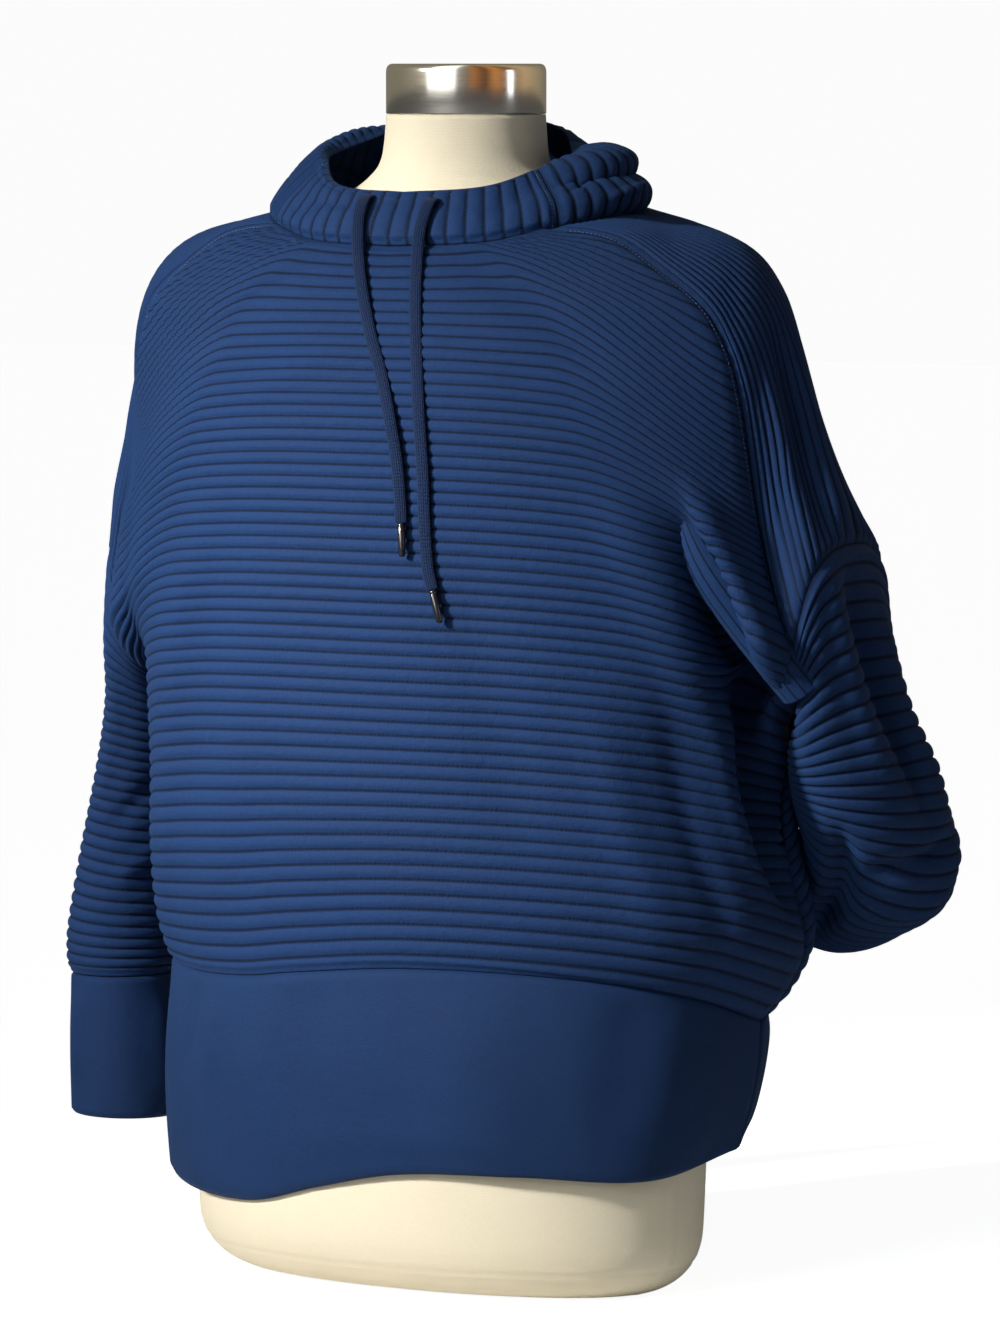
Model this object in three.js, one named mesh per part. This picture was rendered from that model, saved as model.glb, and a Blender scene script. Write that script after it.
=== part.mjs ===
// A pullover hoodie in horizontally quilted knit, worn by a limbless dress form with a metal neck cap.
// Millimetres, Z up, front towards -Y, the wearer's left towards +X, origin under the middle of the form.
import * as THREE from 'three';

// Cloth
const WALL = 2.2; // cloth thickness in the groove between two ribs
const RIB_RISE = 1.7; // how far a rib stands over the groove
const PLAIN_WALL = 2.6; // hem band and cuffs
const SEAM_GAP = 0.4;

// Garment measures
const BODY_RIBS = 56;
const NECK_CENTRE = [-4, -10];
const NECK_HALF_WIDTH = 134;
const NECK_HALF_DEPTH = 88;
const ARM_SEAM_CENTRE = [274, 18, 470];
const ARM_SEAM_SHIFT = 9; // the left arm seam sits further out than the right one
const ARM_SEAM_OUT = [14, 0, 55]; // from the centre to the highest, outermost point
const ARM_SEAM_DEPTH = 60;
const RAGLAN_END_ANGLE = (-18 * Math.PI) / 180; // where the raglan seams meet the arm seam
const RAGLAN_ROWS = 48; // half ribs beside the upper sleeve, then beside the arm seam
const ARMPIT_ROWS = 60;
const RAGLAN_END = RAGLAN_ROWS / (2 * BODY_RIBS); // share of the panel edge above the arm seam
const ARMPIT = ARMPIT_ROWS / (2 * BODY_RIBS); // share of the panel edge above the side seam
const FRONT_PLACES = [-1, -0.88, -0.74, -0.56, -0.34, -0.12, 0.08, 0.32, 0.52, 0.66, 0.77, 0.86, 0.94, 1];
const BACK_PLACES = [-1, -0.86, -0.66, -0.36, 0, 0.36, 0.66, 0.86, 1];

// Reads a table of [place, ...values] rows along a smooth curve through them.
function along(rows, place) {
  const last = rows.length - 1;
  let i = 0;
  while (i < last - 1 && place > rows[i + 1][0]) i += 1;
  const [a, b] = [rows[i], rows[i + 1]];
  const before = rows[Math.max(i - 1, 0)];
  const after = rows[Math.min(i + 2, last)];
  const span = b[0] - a[0];
  const u = (place - a[0]) / span;
  return a.slice(1).map((start, k) => {
    const c = k + 1;
    const chord = (b[c] - start) / span;
    const slopeA = i > 0 ? (b[c] - before[c]) / (b[0] - before[0]) : chord;
    const slopeB = i < last - 1 ? (after[c] - start) / (after[0] - a[0]) : chord;
    const h1 = u * u * (3 - 2 * u);
    const h2 = u * (1 - u) * (1 - u);
    const h3 = u * u * (u - 1);
    return start + (b[c] - start) * h1 + span * (slopeA * h2 + slopeB * h3);
  });
}

const mix = (a, b, t) => a + (b - a) * t;
const smooth = (a, b, x) => {
  const t = Math.min(1, Math.max(0, (x - a) / (b - a)));
  return t * t * (3 - 2 * t);
};
const bump = (x, width) => Math.exp(-((x / width) ** 2));
const add = (p, q, k = 1) => p.map((value, i) => value + q[i] * k);
const toward = (p, q, t) => p.map((value, i) => mix(value, q[i], t));
const radians = (degrees) => (degrees * Math.PI) / 180;

// Reads a polyline: the smooth curve's points at the given places, joined by straight chords.
function chords(curve, nodes, place) {
  let i = 0;
  while (i < nodes.length - 2 && place > nodes[i + 1]) i += 1;
  const t = (place - nodes[i]) / (nodes[i + 1] - nodes[i]);
  return toward(curve(nodes[i]), curve(nodes[i + 1]), t);
}

// Neck seam: angle in degrees from the front, height
const NECK_SEAM = [
  [0, 726], [30, 729], [50, 737], [90, 746], [130, 752], [180, 755],
];
function neckCurve(degrees) {
  const angle = radians(degrees);
  const [x, y] = NECK_CENTRE;
  const [z] = along(NECK_SEAM, Math.abs(degrees));
  return [x + NECK_HALF_WIDTH * Math.sin(angle), y - NECK_HALF_DEPTH * Math.cos(angle), z];
}
const NECK_CORNER = 50; // degrees, where the front raglan seams start
const NECK_BACK_CORNER = 130;
const NECK_SIDE = [60, 70, 80, 90, 100, 110, 120];
const NECK_NODES = [
  ...FRONT_PLACES.map((place) => place * NECK_CORNER),
  ...NECK_SIDE,
  ...NECK_SIDE.map((degrees) => -degrees),
  ...BACK_PLACES.filter((place) => place >= 0).map((place) => 180 - place * (180 - NECK_BACK_CORNER)),
  ...BACK_PLACES.filter((place) => place <= 0).map((place) => -180 - place * (180 - NECK_BACK_CORNER)),
].sort((a, b) => a - b);
function neckSeam(degrees) {
  return chords(neckCurve, NECK_NODES, degrees > 180 ? degrees - 360 : degrees);
}

// Arm seam, a closed ring: angle 0 faces the front, 90 degrees is the outermost point
const ARM_COLUMNS = 10;
function armSeamCurve(angle, side) {
  const front = Math.cos(angle) > 0;
  const full = Math.sin(angle) > 0 ? (front ? 0.65 : 1) : 0.9;
  const power = (value) => Math.sign(value) * Math.abs(value) ** full;
  const [c, s] = [power(Math.cos(angle)), power(Math.sin(angle))];
  const [x, y, z] = add(ARM_SEAM_CENTRE, ARM_SEAM_OUT, s);
  return [x + ARM_SEAM_SHIFT * side, y - ARM_SEAM_DEPTH * c, z];
}
const ARM_NODES = Array.from({ length: 2 * ARM_COLUMNS + 1 }, (_, i) => {
  return RAGLAN_END_ANGLE + ((i - ARM_COLUMNS) * 2 * Math.PI) / ARM_COLUMNS;
});
const armSeam = (angle, side) => chords((a) => armSeamCurve(a, side), ARM_NODES, angle);

// Raglan seams: share of the panel edge, x, y, z
const RAGLAN_FRONT = [
  [0, 98.6, -66.6, 737],
  [0.03, 150, -61, 731],
  [0.055, 189, -60, 708],
  [0.08, 219, -56, 684],
  [0.105, 233, -51, 658],
  [0.135, 239, -47, 634],
  [0.185, 243, -41, 598],
  [0.27, 248, -35, 548],
  [0.36, 258, -33, 502],
];
const RAGLAN_BACK = [
  [0, 98.6, 46.6, 752],
  [0.055, 152, 66, 734],
  [0.105, 190, 76, 702],
  [0.16, 208, 82, 655],
  [0.25, 227, 84, 590],
  [0.35, 244.5, 83, 516],
];
// Side seams: share of the panel edge, x, y, z
const SIDE_LEFT = [
  [0.57, 249, 16, 404],
  [0.61, 246, 15, 381],
  [0.69, 243, 12, 345],
  [0.79, 252, 10, 300],
  [0.9, 270, 11, 246],
  [0.96, 261, 14, 214],
  [1, 240, 17, 192],
];
const SIDE_RIGHT = [
  [0.57, 239, 16, 402],
  [0.61, 238, 15, 381],
  [0.7, 234, 12, 338],
  [0.82, 232, 10, 280],
  [0.93, 227, 10, 240],
  [1, 219, 12, 222],
];

// The edge of a panel from the neck to the hem band, on the wearer's left or right
const SLEEVE_ROWS = [0, 4, 8, 12, 16, 20, 26, 32, 38, 42, 45, 48].map((row) => row / RAGLAN_ROWS);
const RAGLAN_NODES = SLEEVE_ROWS.map((row) => row * RAGLAN_END);
const armPoint = (side, front, angle) => armSeam(front ? angle : Math.PI - angle, side);
const raglan = (side, front) => [
  ...(front ? RAGLAN_FRONT : RAGLAN_BACK),
  [RAGLAN_END, ...armPoint(side, front, RAGLAN_END_ANGLE)],
];
const sideSeam = (side) => [
  [ARMPIT, ...armSeam(-Math.PI / 2, side)],
  ...(side > 0 ? SIDE_LEFT : SIDE_RIGHT),
];
function panelEdge(share, side, front) {
  let point;
  if (share <= RAGLAN_END) {
    point = chords((s) => along(raglan(side, front), s), RAGLAN_NODES, share);
  } else if (share < ARMPIT) {
    const t = (share - RAGLAN_END) / (ARMPIT - RAGLAN_END);
    point = armPoint(side, front, mix(RAGLAN_END_ANGLE, -Math.PI / 2, t));
  } else point = along(sideSeam(side), share);
  return [point[0] * side, point[1], point[2]];
}
// The same edge without the step round the arm seam, which only bends the cloth next to it
function calmEdge(share, side, front) {
  const upper = (front ? RAGLAN_FRONT : RAGLAN_BACK).filter(([place]) => place < 0.3);
  const lower = sideSeam(side).filter(([place]) => place > 0.65);
  const [x, y, z] = along([...upper, ...lower], share);
  return [x * side, y, z];
}

// Middle line of the front: share, y, z, fullness and turn of the curve towards the sides
const FRONT_MIDDLE = [
  [0, -98, 726, 1.25, 0],
  [0.08, -114, 687, 1.3, 0],
  [0.2, -134, 628, 1.5, 0.3],
  [0.36, -145, 550, 1.8, 0.7],
  [0.55, -149, 457, 2.4, 1],
  [0.8, -152, 334, 2.7, 1],
  [1, -150, 235, 2.4, 1],
];
const BACK_MIDDLE = [
  [0, 78, 755, 1.3, 0],
  [0.08, 103, 713, 1.4, 0],
  [0.22, 122, 640, 1.7, 0.4],
  [0.4, 124, 545, 1.9, 0.8],
  [0.6, 114, 440, 2, 1],
  [0.8, 108, 330, 2, 1],
  [1, 106, 222, 2, 1],
];
// Hem band seam at the front: place across, rise over the straight line
const BAND_LINE_FRONT = [
  [-1, 0], [-0.72, -9], [-0.5, -16], [-0.3, -15], [-0.15, -9], [0.1, -1], [0.5, 0], [1, 0],
];
// Folds: place and share at both ends, half width across, rise
const FRONT_FOLDS = [
  [-0.42, 0.34, -0.68, 1.02, 0.08, 7],
  [-0.8, 0.3, -0.86, 0.8, 0.06, -7],
  [0.6, 0.3, 0.72, 0.62, 0.09, 9],
  [0.75, 0.33, 0.86, 0.62, 0.06, -30],
  [0.83, 0.27, 0.96, 0.47, 0.05, 16],
  [0.35, 0.02, 0.62, 0.16, 0.1, -4],
  [-0.4, 0.03, -0.6, 0.14, 0.1, -3],
];
const BACK_FOLDS = [
  [0.72, 0.3, 0.86, 0.6, 0.08, -14],
  [-0.72, 0.3, -0.86, 0.6, 0.08, -12],
  [0.25, 0.25, 0.42, 1.02, 0.09, 7],
  [-0.22, 0.3, -0.4, 1.02, 0.1, 6],
];
function foldRise(folds, place, share) {
  let rise = 0;
  for (const [place0, share0, place1, share1, width, height] of folds) {
    const t = (share - share0) / (share1 - share0);
    const ends = smooth(-0.12, 0.3, t) * (1 - smooth(0.75, 1.12, t));
    rise += height * ends * bump(place - mix(place0, place1, t), width);
  }
  return rise;
}

// A panel hung between its two edges, before its top is brought onto the neck seam
function hungPanel(place, share, front) {
  const side = place < 0 ? -1 : 1;
  const edge = panelEdge(share, side, front);
  const calm = calmEdge(share, side, front);
  const [y, z, full, turn] = along(front ? FRONT_MIDDLE : BACK_MIDDLE, share);
  const off = Math.abs(place);
  const across = mix(off, Math.sin(radians(90 * off)), turn);
  const round = Math.max(0, 1 - across ** 2) ** (1 / full);
  const fold = foldRise(front ? FRONT_FOLDS : BACK_FOLDS, place, share) * (1 - off ** 12);
  const p = [
    calm[0] * across,
    mix(calm[1], y, round) + (front ? -fold : fold),
    mix(z, calm[2], off ** 2.8),
  ];
  return add(p, add(edge, calm, -1), smooth(0.62, 1, off));
}
function frontPanel(place, share) {
  const neck = neckSeam(place * NECK_CORNER);
  const shift = add(neck, hungPanel(place, 0, true), -1);
  const p = add(hungPanel(place, share, true), shift, 1 - smooth(0, 0.12, share));
  p[2] += along(BAND_LINE_FRONT, place)[0] * smooth(0.6, 1, share);
  return p;
}
function backPanel(place, share) {
  const neck = neckSeam(180 - place * (180 - NECK_BACK_CORNER));
  const shift = add(neck, hungPanel(place, 0, false), -1);
  return add(hungPanel(place, share, false), shift, 1 - smooth(0, 0.12, share));
}

// Top of the shoulder and upper arm: share of the sleeve, x, y, z, wrap in degrees
const SHOULDER_LINE = [
  [0, 130, -10, 746, 0],
  [0.09, 162, -6, 743, -8],
  [0.18, 198, -2, 737, -16],
  [0.26, 223, 0, 724, -24],
  [0.34, 237, 3, 703, -30],
  [0.44, 246, 7, 674, -34],
  [0.6, 260, 12, 622, -34],
  [0.8, 275, 15, 570, -20],
  [1, 290, 18, 525, 0],
];
function hungSleeve(place, share, side) {
  const front = along(raglan(side, true), share * RAGLAN_END);
  const back = along(raglan(side, false), share * RAGLAN_END);
  const [x, y, z, wrap] = along(SHOULDER_LINE, share);
  const tuck = radians(wrap);
  const middle = toward(front, back, 0.5);
  const rise = add([x, y, z], middle, -1).map((value) => value / (1 + Math.sin(tuck)));
  const centre = add([x, y, z], rise, -1);
  const reach = add(front, middle, -1).map((value) => value / Math.cos(tuck));
  const angle = mix(-tuck, Math.PI + tuck, (place + 1) / 2);
  return add(add(centre, reach, Math.cos(angle)), rise, Math.sin(angle));
}
// Upper sleeve: place -1 on the front raglan seam, 1 on the back one
function upperSleeve(place, share, side) {
  const half = (place + 1) / 2;
  const neck = neckSeam(mix(NECK_CORNER, NECK_BACK_CORNER, half) * side);
  const arm = armSeam(mix(RAGLAN_END_ANGLE, Math.PI - RAGLAN_END_ANGLE, half), side);
  const start = [neck[0] * side, neck[1], neck[2]];
  let p = hungSleeve(place, share, side);
  p = add(p, add(start, hungSleeve(place, 0, side), -1), 1 - smooth(0, 0.3, share));
  p = add(p, add(arm, hungSleeve(place, 1, side), -1), smooth(0.6, 1, share));
  return [p[0] * side, p[1], p[2]];
}

// Lower sleeves: share of the length, centre, outward half, front half
const HANGING_SLEEVE = [
  [0, 265, 18, 470, ...ARM_SEAM_OUT, 0, -ARM_SEAM_DEPTH, 0],
  [0.12, 279, 26, 438, 20, 0, 30, 0, -58, 0],
  [0.26, 284, 38, 398, 24, 0, 14, 0, -56, 0],
  [0.48, 290, 44, 340, 27, 0, 8, 0, -55, 0],
  [0.7, 298, 40, 276, 31, 0, 6, 0, -50, 0],
  [0.88, 303, 34, 222, 35, 0, 3, 0, -44, 0],
  [1, 305, 31, 192, 36, 0, 0, 0, -40, 0],
];
const BENT_SLEEVE = [
  [0, 283, 18, 470, ...ARM_SEAM_OUT, 0, -ARM_SEAM_DEPTH, 0],
  [0.13, 293, 24, 439, 16, 0, 29, 0, -56, 0],
  [0.26, 296, 32, 398, 23, 4, 14, -2, -55, 0],
  [0.4, 301, 44, 360, 32, 6, 0, -6, -52, 0],
  [0.53, 297, 58, 328, 34, 8, -17, -14, -48, 0],
  [0.66, 286, 76, 299, 25, 6, -33, -24, -42, 0],
  [0.78, 268, 95, 279, 10, 2, -38, -29, -35, 0],
  [0.89, 252, 108, 269, 3, 1, -35, -29, -31, 0],
  [1, 234, 117, 265, 0, 0, -32, -28, -29, 0],
];
const HANGING_CUFF = [
  [0, 305, 31, 191.6, 36, 0, 0, 0, -40, 0],
  [0.4, 305, 31, 150, 38, 0, 0, 0, -40, 0],
  [1, 304, 30, 89, 37, 0, 1, 0, -40, 0],
];
const BENT_CUFF = [
  [0, 233.9, 117.05, 265, 0, 0, -32, -28, -29, 0],
  [0.4, 197, 136, 262, 0, 0, -32, -20, -33, 0],
  [1, 136, 156, 258, 0, 0, -30, -12, -35, 0],
];
function tube(rows, angle, share, boxy = 0) {
  const [cx, cy, cz, ox, oy, oz, fx, fy, fz] = along(rows, share);
  const full = 1 - 0.15 * boxy;
  const power = (value) => Math.sign(value) * Math.abs(value) ** full;
  const [c, s] = [power(Math.cos(angle)), power(Math.sin(angle))];
  return [cx + fx * c + ox * s, cy + fy * c + oy * s, cz + fz * c + oz * s];
}
function lowerSleeve(rows, angle, share, side) {
  const p = tube(rows, angle, share, 1 - smooth(0, 0.3, share));
  const shift = add(armSeam(angle, side), tube(rows, angle, 0, 1), -1);
  return add(p, shift, 1 - smooth(0, 0.2, share));
}

// Hem: place across, x, y, z, once round the front and once round the back
const HEM_FRONT = [
  [-1, -216, 10, 84], [-0.8, -207, -58, 72], [-0.56, -162, -104, 62], [-0.34, -98, -128, 61],
  [-0.12, -36, -141, 77], [0.08, 30, -145, 91], [0.35, 116, -133, 94], [0.7, 198, -80, 90],
  [1, 221, 14, 101],
];
const HEM_BACK = [
  [-1, -216, 10, 84], [-0.7, -190, 60, 84], [-0.3, -96, 94, 86], [0, 4, 101, 88],
  [0.3, 102, 96, 92], [0.7, 194, 62, 98], [1, 221, 14, 101],
];
function hemBand(place, share, front) {
  const top = front ? frontPanel(place, 1) : backPanel(place, 1);
  const [x, y, z] = along(front ? HEM_FRONT : HEM_BACK, place);
  const p = toward(top, [x, y, z], share);
  const belly = 5 * Math.sin(Math.PI * share);
  return add(p, [x / 220, y / 150, 0], belly);
}

// Hood, laid back: angle from the front, then out from the neck seam and height of nine points
const HOOD_LEFT = [
  [0, 0, 731, -2, 736, -4, 741, -7, 746, -10, 750, -13, 754, -15, 758, -18, 761, -20, 762],
  [30, 0, 734, -1, 739, -3, 744, -6, 749, -10, 753, -13, 758, -16, 762, -19, 765, -21, 766],
  [55, 2, 744, 2, 749, 0, 755, -5, 760, -11, 764, -17, 769, -23, 774, -28, 777, -32, 777],
  [80, 0, 751, 0, 757, -1, 763, -7, 768, -15, 770, -11, 776, -14, 783, -25, 787, -37, 782],
  [100, 0, 752, 0, 758, -3, 765, -9, 770, -16, 773, -10, 779, -12, 785, -24, 789, -38, 784],
  [125, 1, 757, 2, 761, 2, 766, -2, 771, -6, 776, -4, 782, -9, 788, -23, 792, -37, 789],
  [140, 5, 760, 18, 762, 28, 758, 35, 750, 40, 744, 39, 753, 26, 774, 2, 790, -28, 790],
  [155, 8, 762, 27, 755, 48, 724, 62, 696, 71, 686, 75, 702, 62, 742, 32, 780, -14, 803],
  [180, 10, 763, 26, 752, 44, 716, 58, 678, 69, 660, 79, 670, 74, 716, 52, 774, 8, 814],
];
const HOOD_RIGHT = [
  HOOD_LEFT[0],
  HOOD_LEFT[1],
  [60, 2, 746, 0, 750, -3, 755, -8, 761, -14, 767, -20, 773, -26, 778, -31, 783, -35, 783],
  [90, 1, 752, 1, 757, -2, 763, -6, 769, -11, 776, -17, 782, -24, 788, -31, 792, -38, 788],
  [120, 3, 757, 6, 762, 6, 768, 2, 776, -4, 783, -11, 791, -19, 798, -28, 802, -37, 797],
  [140, 5, 760, 18, 762, 28, 758, 35, 750, 40, 746, 38, 758, 24, 782, 2, 800, -26, 806],
  [155, ...HOOD_LEFT[7].slice(1, 15), 32, 782, -12, 811],
  HOOD_LEFT[8],
];
const HOOD_POINTS = 9;
function hood(degrees, share) {
  const rows = degrees < 0 ? HOOD_RIGHT : HOOD_LEFT;
  const section = along(rows, Math.abs(degrees));
  const [nx, ny, nz] = neckSeam(degrees);
  const line = [[0, 0, nz + SEAM_GAP]];
  for (let k = 0; k < HOOD_POINTS; k += 1) {
    line.push([(k + 1) / HOOD_POINTS, section[2 * k], section[2 * k + 1]]);
  }
  const [out, z] = along(line, share);
  const angle = radians(degrees);
  return [nx + out * Math.sin(angle), ny - out * Math.cos(angle), z];
}

// Cloth pieces: a surface read on a grid, thickened outwards, thicker on the ribs.
const steps = (from, to, count) => Array.from({ length: count + 1 }, (_, i) => mix(from, to, i / count));

function grid(surface, columns, rows, { closed = false, flip = 1 } = {}) {
  const points = rows.map((row) => columns.map((column) => new THREE.Vector3(...surface(column, row))));
  const [last, width] = [rows.length - 1, columns.length];
  const at = (j, i) => points[j][closed ? (i + width) % width : Math.min(width - 1, Math.max(0, i))];
  const normals = rows.map((_, j) => columns.map((__, i) => {
    const across = at(j, i + 1).clone().sub(at(j, i - 1));
    const down = at(Math.min(last, j + 1), i).clone().sub(at(Math.max(0, j - 1), i));
    return across.cross(down).normalize().multiplyScalar(flip);
  }));
  return { points, normals, closed, flip };
}

// Border places of a sheet in order, one list for each side, or for each end of a tube
function borders({ points, closed }) {
  const [last, width] = [points.length - 1, points[0].length];
  const ends = [0, last].map((j) => points[0].map((_, i) => [j, i]));
  if (closed) return ends.map((list) => [...list, list[0]]);
  return [...ends, ...[0, width - 1].map((i) => points.map((_, j) => [j, i]))];
}

// The places where a border point touches the other sheets
function touching(sheets, own, point) {
  const line = new THREE.Line3();
  const foot = new THREE.Vector3();
  const found = [];
  for (const sheet of sheets.filter((other) => other !== own)) {
    let best = 1;
    let nearest = null;
    for (const list of borders(sheet)) {
      for (let k = 0; k < list.length - 1; k += 1) {
        const [[j0, i0], [j1, i1]] = [list[k], list[k + 1]];
        line.set(sheet.points[j0][i0], sheet.points[j1][i1]);
        const t = line.closestPointToPointParameter(point, true);
        const distance = line.at(t, foot).distanceTo(point);
        if (distance < best) {
          best = distance;
          nearest = { length: line.distance(), normal: () => normalBetween(sheet, list[k], list[k + 1], t) };
        }
      }
    }
    if (nearest) found.push(nearest);
  }
  return found;
}
function normalBetween({ normals }, [j0, i0], [j1, i1], t) {
  return normals[j0][i0].clone().lerp(normals[j1][i1], t);
}

// Pieces that meet at a seam share the direction in which they are thickened there: first the mean,
// then a finely divided border follows the straight edges of a coarser one.
function shareSeams(sheets) {
  const updates = [];
  for (const sheet of sheets) {
    for (const list of borders(sheet)) {
      list.forEach(([j, i], k) => {
        const point = sheet.points[j][i];
        const [nj, ni] = list[k > 0 ? k - 1 : 1];
        const spacing = point.distanceTo(sheet.points[nj][ni]);
        updates.push({ sheet, j, i, spacing, meets: touching(sheets, sheet, point) });
      });
    }
  }
  for (const update of updates) {
    const sum = update.sheet.normals[update.j][update.i].clone();
    for (const { normal } of update.meets) sum.add(normal());
    const count = 1 + update.meets.length;
    update.normal = sum.setLength(Math.min(2.2, count / sum.length()));
  }
  for (const { sheet, j, i, normal } of updates) sheet.normals[j][i] = normal;
  for (const { sheet, j, i, spacing, meets } of updates) {
    const coarse = meets.find(({ length }) => length > 1.2 * spacing);
    if (coarse && meets.length === 1) sheet.normals[j][i] = coarse.normal();
  }
}

// Builds the closed wall of one sheet. ribs is 'rows', 'columns' or null; the plain inside keeps
// every innerRow-th row, or the listed rows, and every innerColumn-th column.
function wall(sheet, { thick = WALL, ribs = null, innerRow = 1, innerColumn = 1, trim = SEAM_GAP / 2 }) {
  const { points, normals, closed, flip } = sheet;
  const [last, width] = [points.length - 1, points[0].length];
  const columns = closed ? width : width - 1;
  const inset = points.map((row, j) => row.map((p, i) => {
    const q = p.clone();
    const gap = trim * (1 + 5 * (normals[j][i].length() - 1)); // more where the seam is folded
    const pull = (n) => q.add(n.clone().sub(p).setLength(Math.min(gap, n.distanceTo(p) / 3)));
    if (j === 0) pull(points[1][i]);
    if (j === last) pull(points[last - 1][i]);
    if (!closed && i === 0) pull(points[j][1]);
    if (!closed && i === width - 1) pull(points[j][width - 2]);
    return q;
  }));
  const positions = [];
  const put = (v) => positions.push(v.x, v.y, v.z) / 3 - 1;
  const edge = (j, i) => j === 0 || j === last || (!closed && (i === 0 || i === width - 1));
  const outer = inset.map((row, j) => row.map((p, i) => {
    const onRib = ribs === 'rows' ? j % 2 === 1 : ribs === 'columns' && i % 2 === 1;
    const beside = [normals[j < 2 ? 0 : j > last - 2 ? last : j][i]];
    if (!closed) beside.push(normals[j][i < 2 ? 0 : i > width - 3 ? width - 1 : i]);
    const bend = Math.max(...beside.map((normal) => normal.length()));
    const rise = onRib && !edge(j, i) ? RIB_RISE * (1 - smooth(1, 1.15, bend)) : 0;
    return put(p.clone().addScaledVector(normals[j][i], thick + rise));
  }));
  const listed = Array.isArray(innerRow) ? innerRow : null;
  const innerRows = listed || points.map((_, j) => j).filter((j) => j % innerRow === 0);
  const innerColumns = points[0].map((_, i) => i).filter((i) => i % innerColumn === 0);
  const inner = innerRows.map((j) => innerColumns.map((i) => put(inset[j][i])));
  const faces = [];
  const face = (a, b, c) => (flip > 0 ? faces.push(a, c, b) : faces.push(a, b, c));
  const around = (row, i) => row[i % row.length];
  for (let j = 0; j < last; j += 1) {
    for (let i = 0; i < columns; i += 1) {
      const [a, b] = [outer[j][i], around(outer[j], i + 1)];
      const [c, d] = [outer[j + 1][i], around(outer[j + 1], i + 1)];
      face(a, c, b);
      face(b, c, d);
    }
  }
  const innerCount = closed ? innerColumns.length : innerColumns.length - 1;
  for (let j = 0; j < innerRows.length - 1; j += 1) {
    for (let i = 0; i < innerCount; i += 1) {
      const [a, b] = [inner[j][i], around(inner[j], i + 1)];
      const [c, d] = [inner[j + 1][i], around(inner[j + 1], i + 1)];
      face(a, b, c);
      face(b, d, c);
    }
  }
  // The rim joins the fine outer border to the plain inner one.
  const rim = (fine, plain, places, turned) => {
    const tri = (a, b, c) => (turned ? face(a, c, b) : face(a, b, c));
    for (let k = 0; k < plain.length - 1; k += 1) {
      const step = places[k + 1] - places[k];
      const half = Math.ceil(step / 2);
      for (let m = 0; m < step; m += 1) {
        const [a, b] = [fine[places[k] + m], fine[places[k] + m + 1]];
        tri(a, b, m < half ? plain[k] : plain[k + 1]);
        if (m === half - 1) tri(plain[k], b, plain[k + 1]);
      }
    }
  };
  const ring = (row) => (closed ? [...row, row[0]] : row);
  const across = closed ? [...innerColumns, width] : innerColumns;
  rim(ring(outer[0]), ring(inner[0]), across, false);
  rim(ring(outer[last]), ring(inner[innerRows.length - 1]), across, true);
  if (!closed) {
    const side = (rows, i) => rows.map((row) => row[i < 0 ? row.length - 1 : i]);
    rim(side(outer, 0), side(inner, 0), innerRows, true);
    rim(side(outer, -1), side(inner, -1), innerRows, false);
  }
  const geometry = new THREE.BufferGeometry();
  geometry.setAttribute('position', new THREE.Float32BufferAttribute(positions, 3));
  geometry.setIndex(faces);
  return geometry;
}

const CLOTH = { color: 0x1b2c52, roughness: 0.7, metalness: 0 };
const PLAIN_CLOTH = { color: 0x1a2a50, roughness: 0.85, metalness: 0 };
const model = new THREE.Group();
model.name = 'hoodie_on_form';
function piece(name, geometry, look) {
  geometry.computeVertexNormals();
  const mesh = new THREE.Mesh(geometry, new THREE.MeshStandardMaterial({ ...look, name: `${name}_finish` }));
  mesh.name = name;
  model.add(mesh);
}

const bodyRows = steps(0, 1, 2 * BODY_RIBS);
const SLEEVE_RIBS = 24;
const LOWER_RIBS = 33;
const armAngles = steps(RAGLAN_END_ANGLE, RAGLAN_END_ANGLE + 2 * Math.PI, ARM_COLUMNS).slice(0, -1);
const sleeveColumns = steps(-1, 1, 2 * SLEEVE_RIBS);
const lowerRows = steps(0, 1, 2 * LOWER_RIBS);
const COLLAR_SIDE = 55; // degrees, where the collar front is sewn to the hood sides
const hoodRows = steps(0, 1, HOOD_POINTS);

const collarColumns = steps(-COLLAR_SIDE, COLLAR_SIDE, 36);
const hoodLeftColumns = steps(COLLAR_SIDE, 180, 40);
const hoodRightColumns = steps(-180, -COLLAR_SIDE, 40);
const hemRows = [0, 0.3, 0.65, 1];
const cuffRows = [0, 0.3, 0.65, 1];

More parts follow.
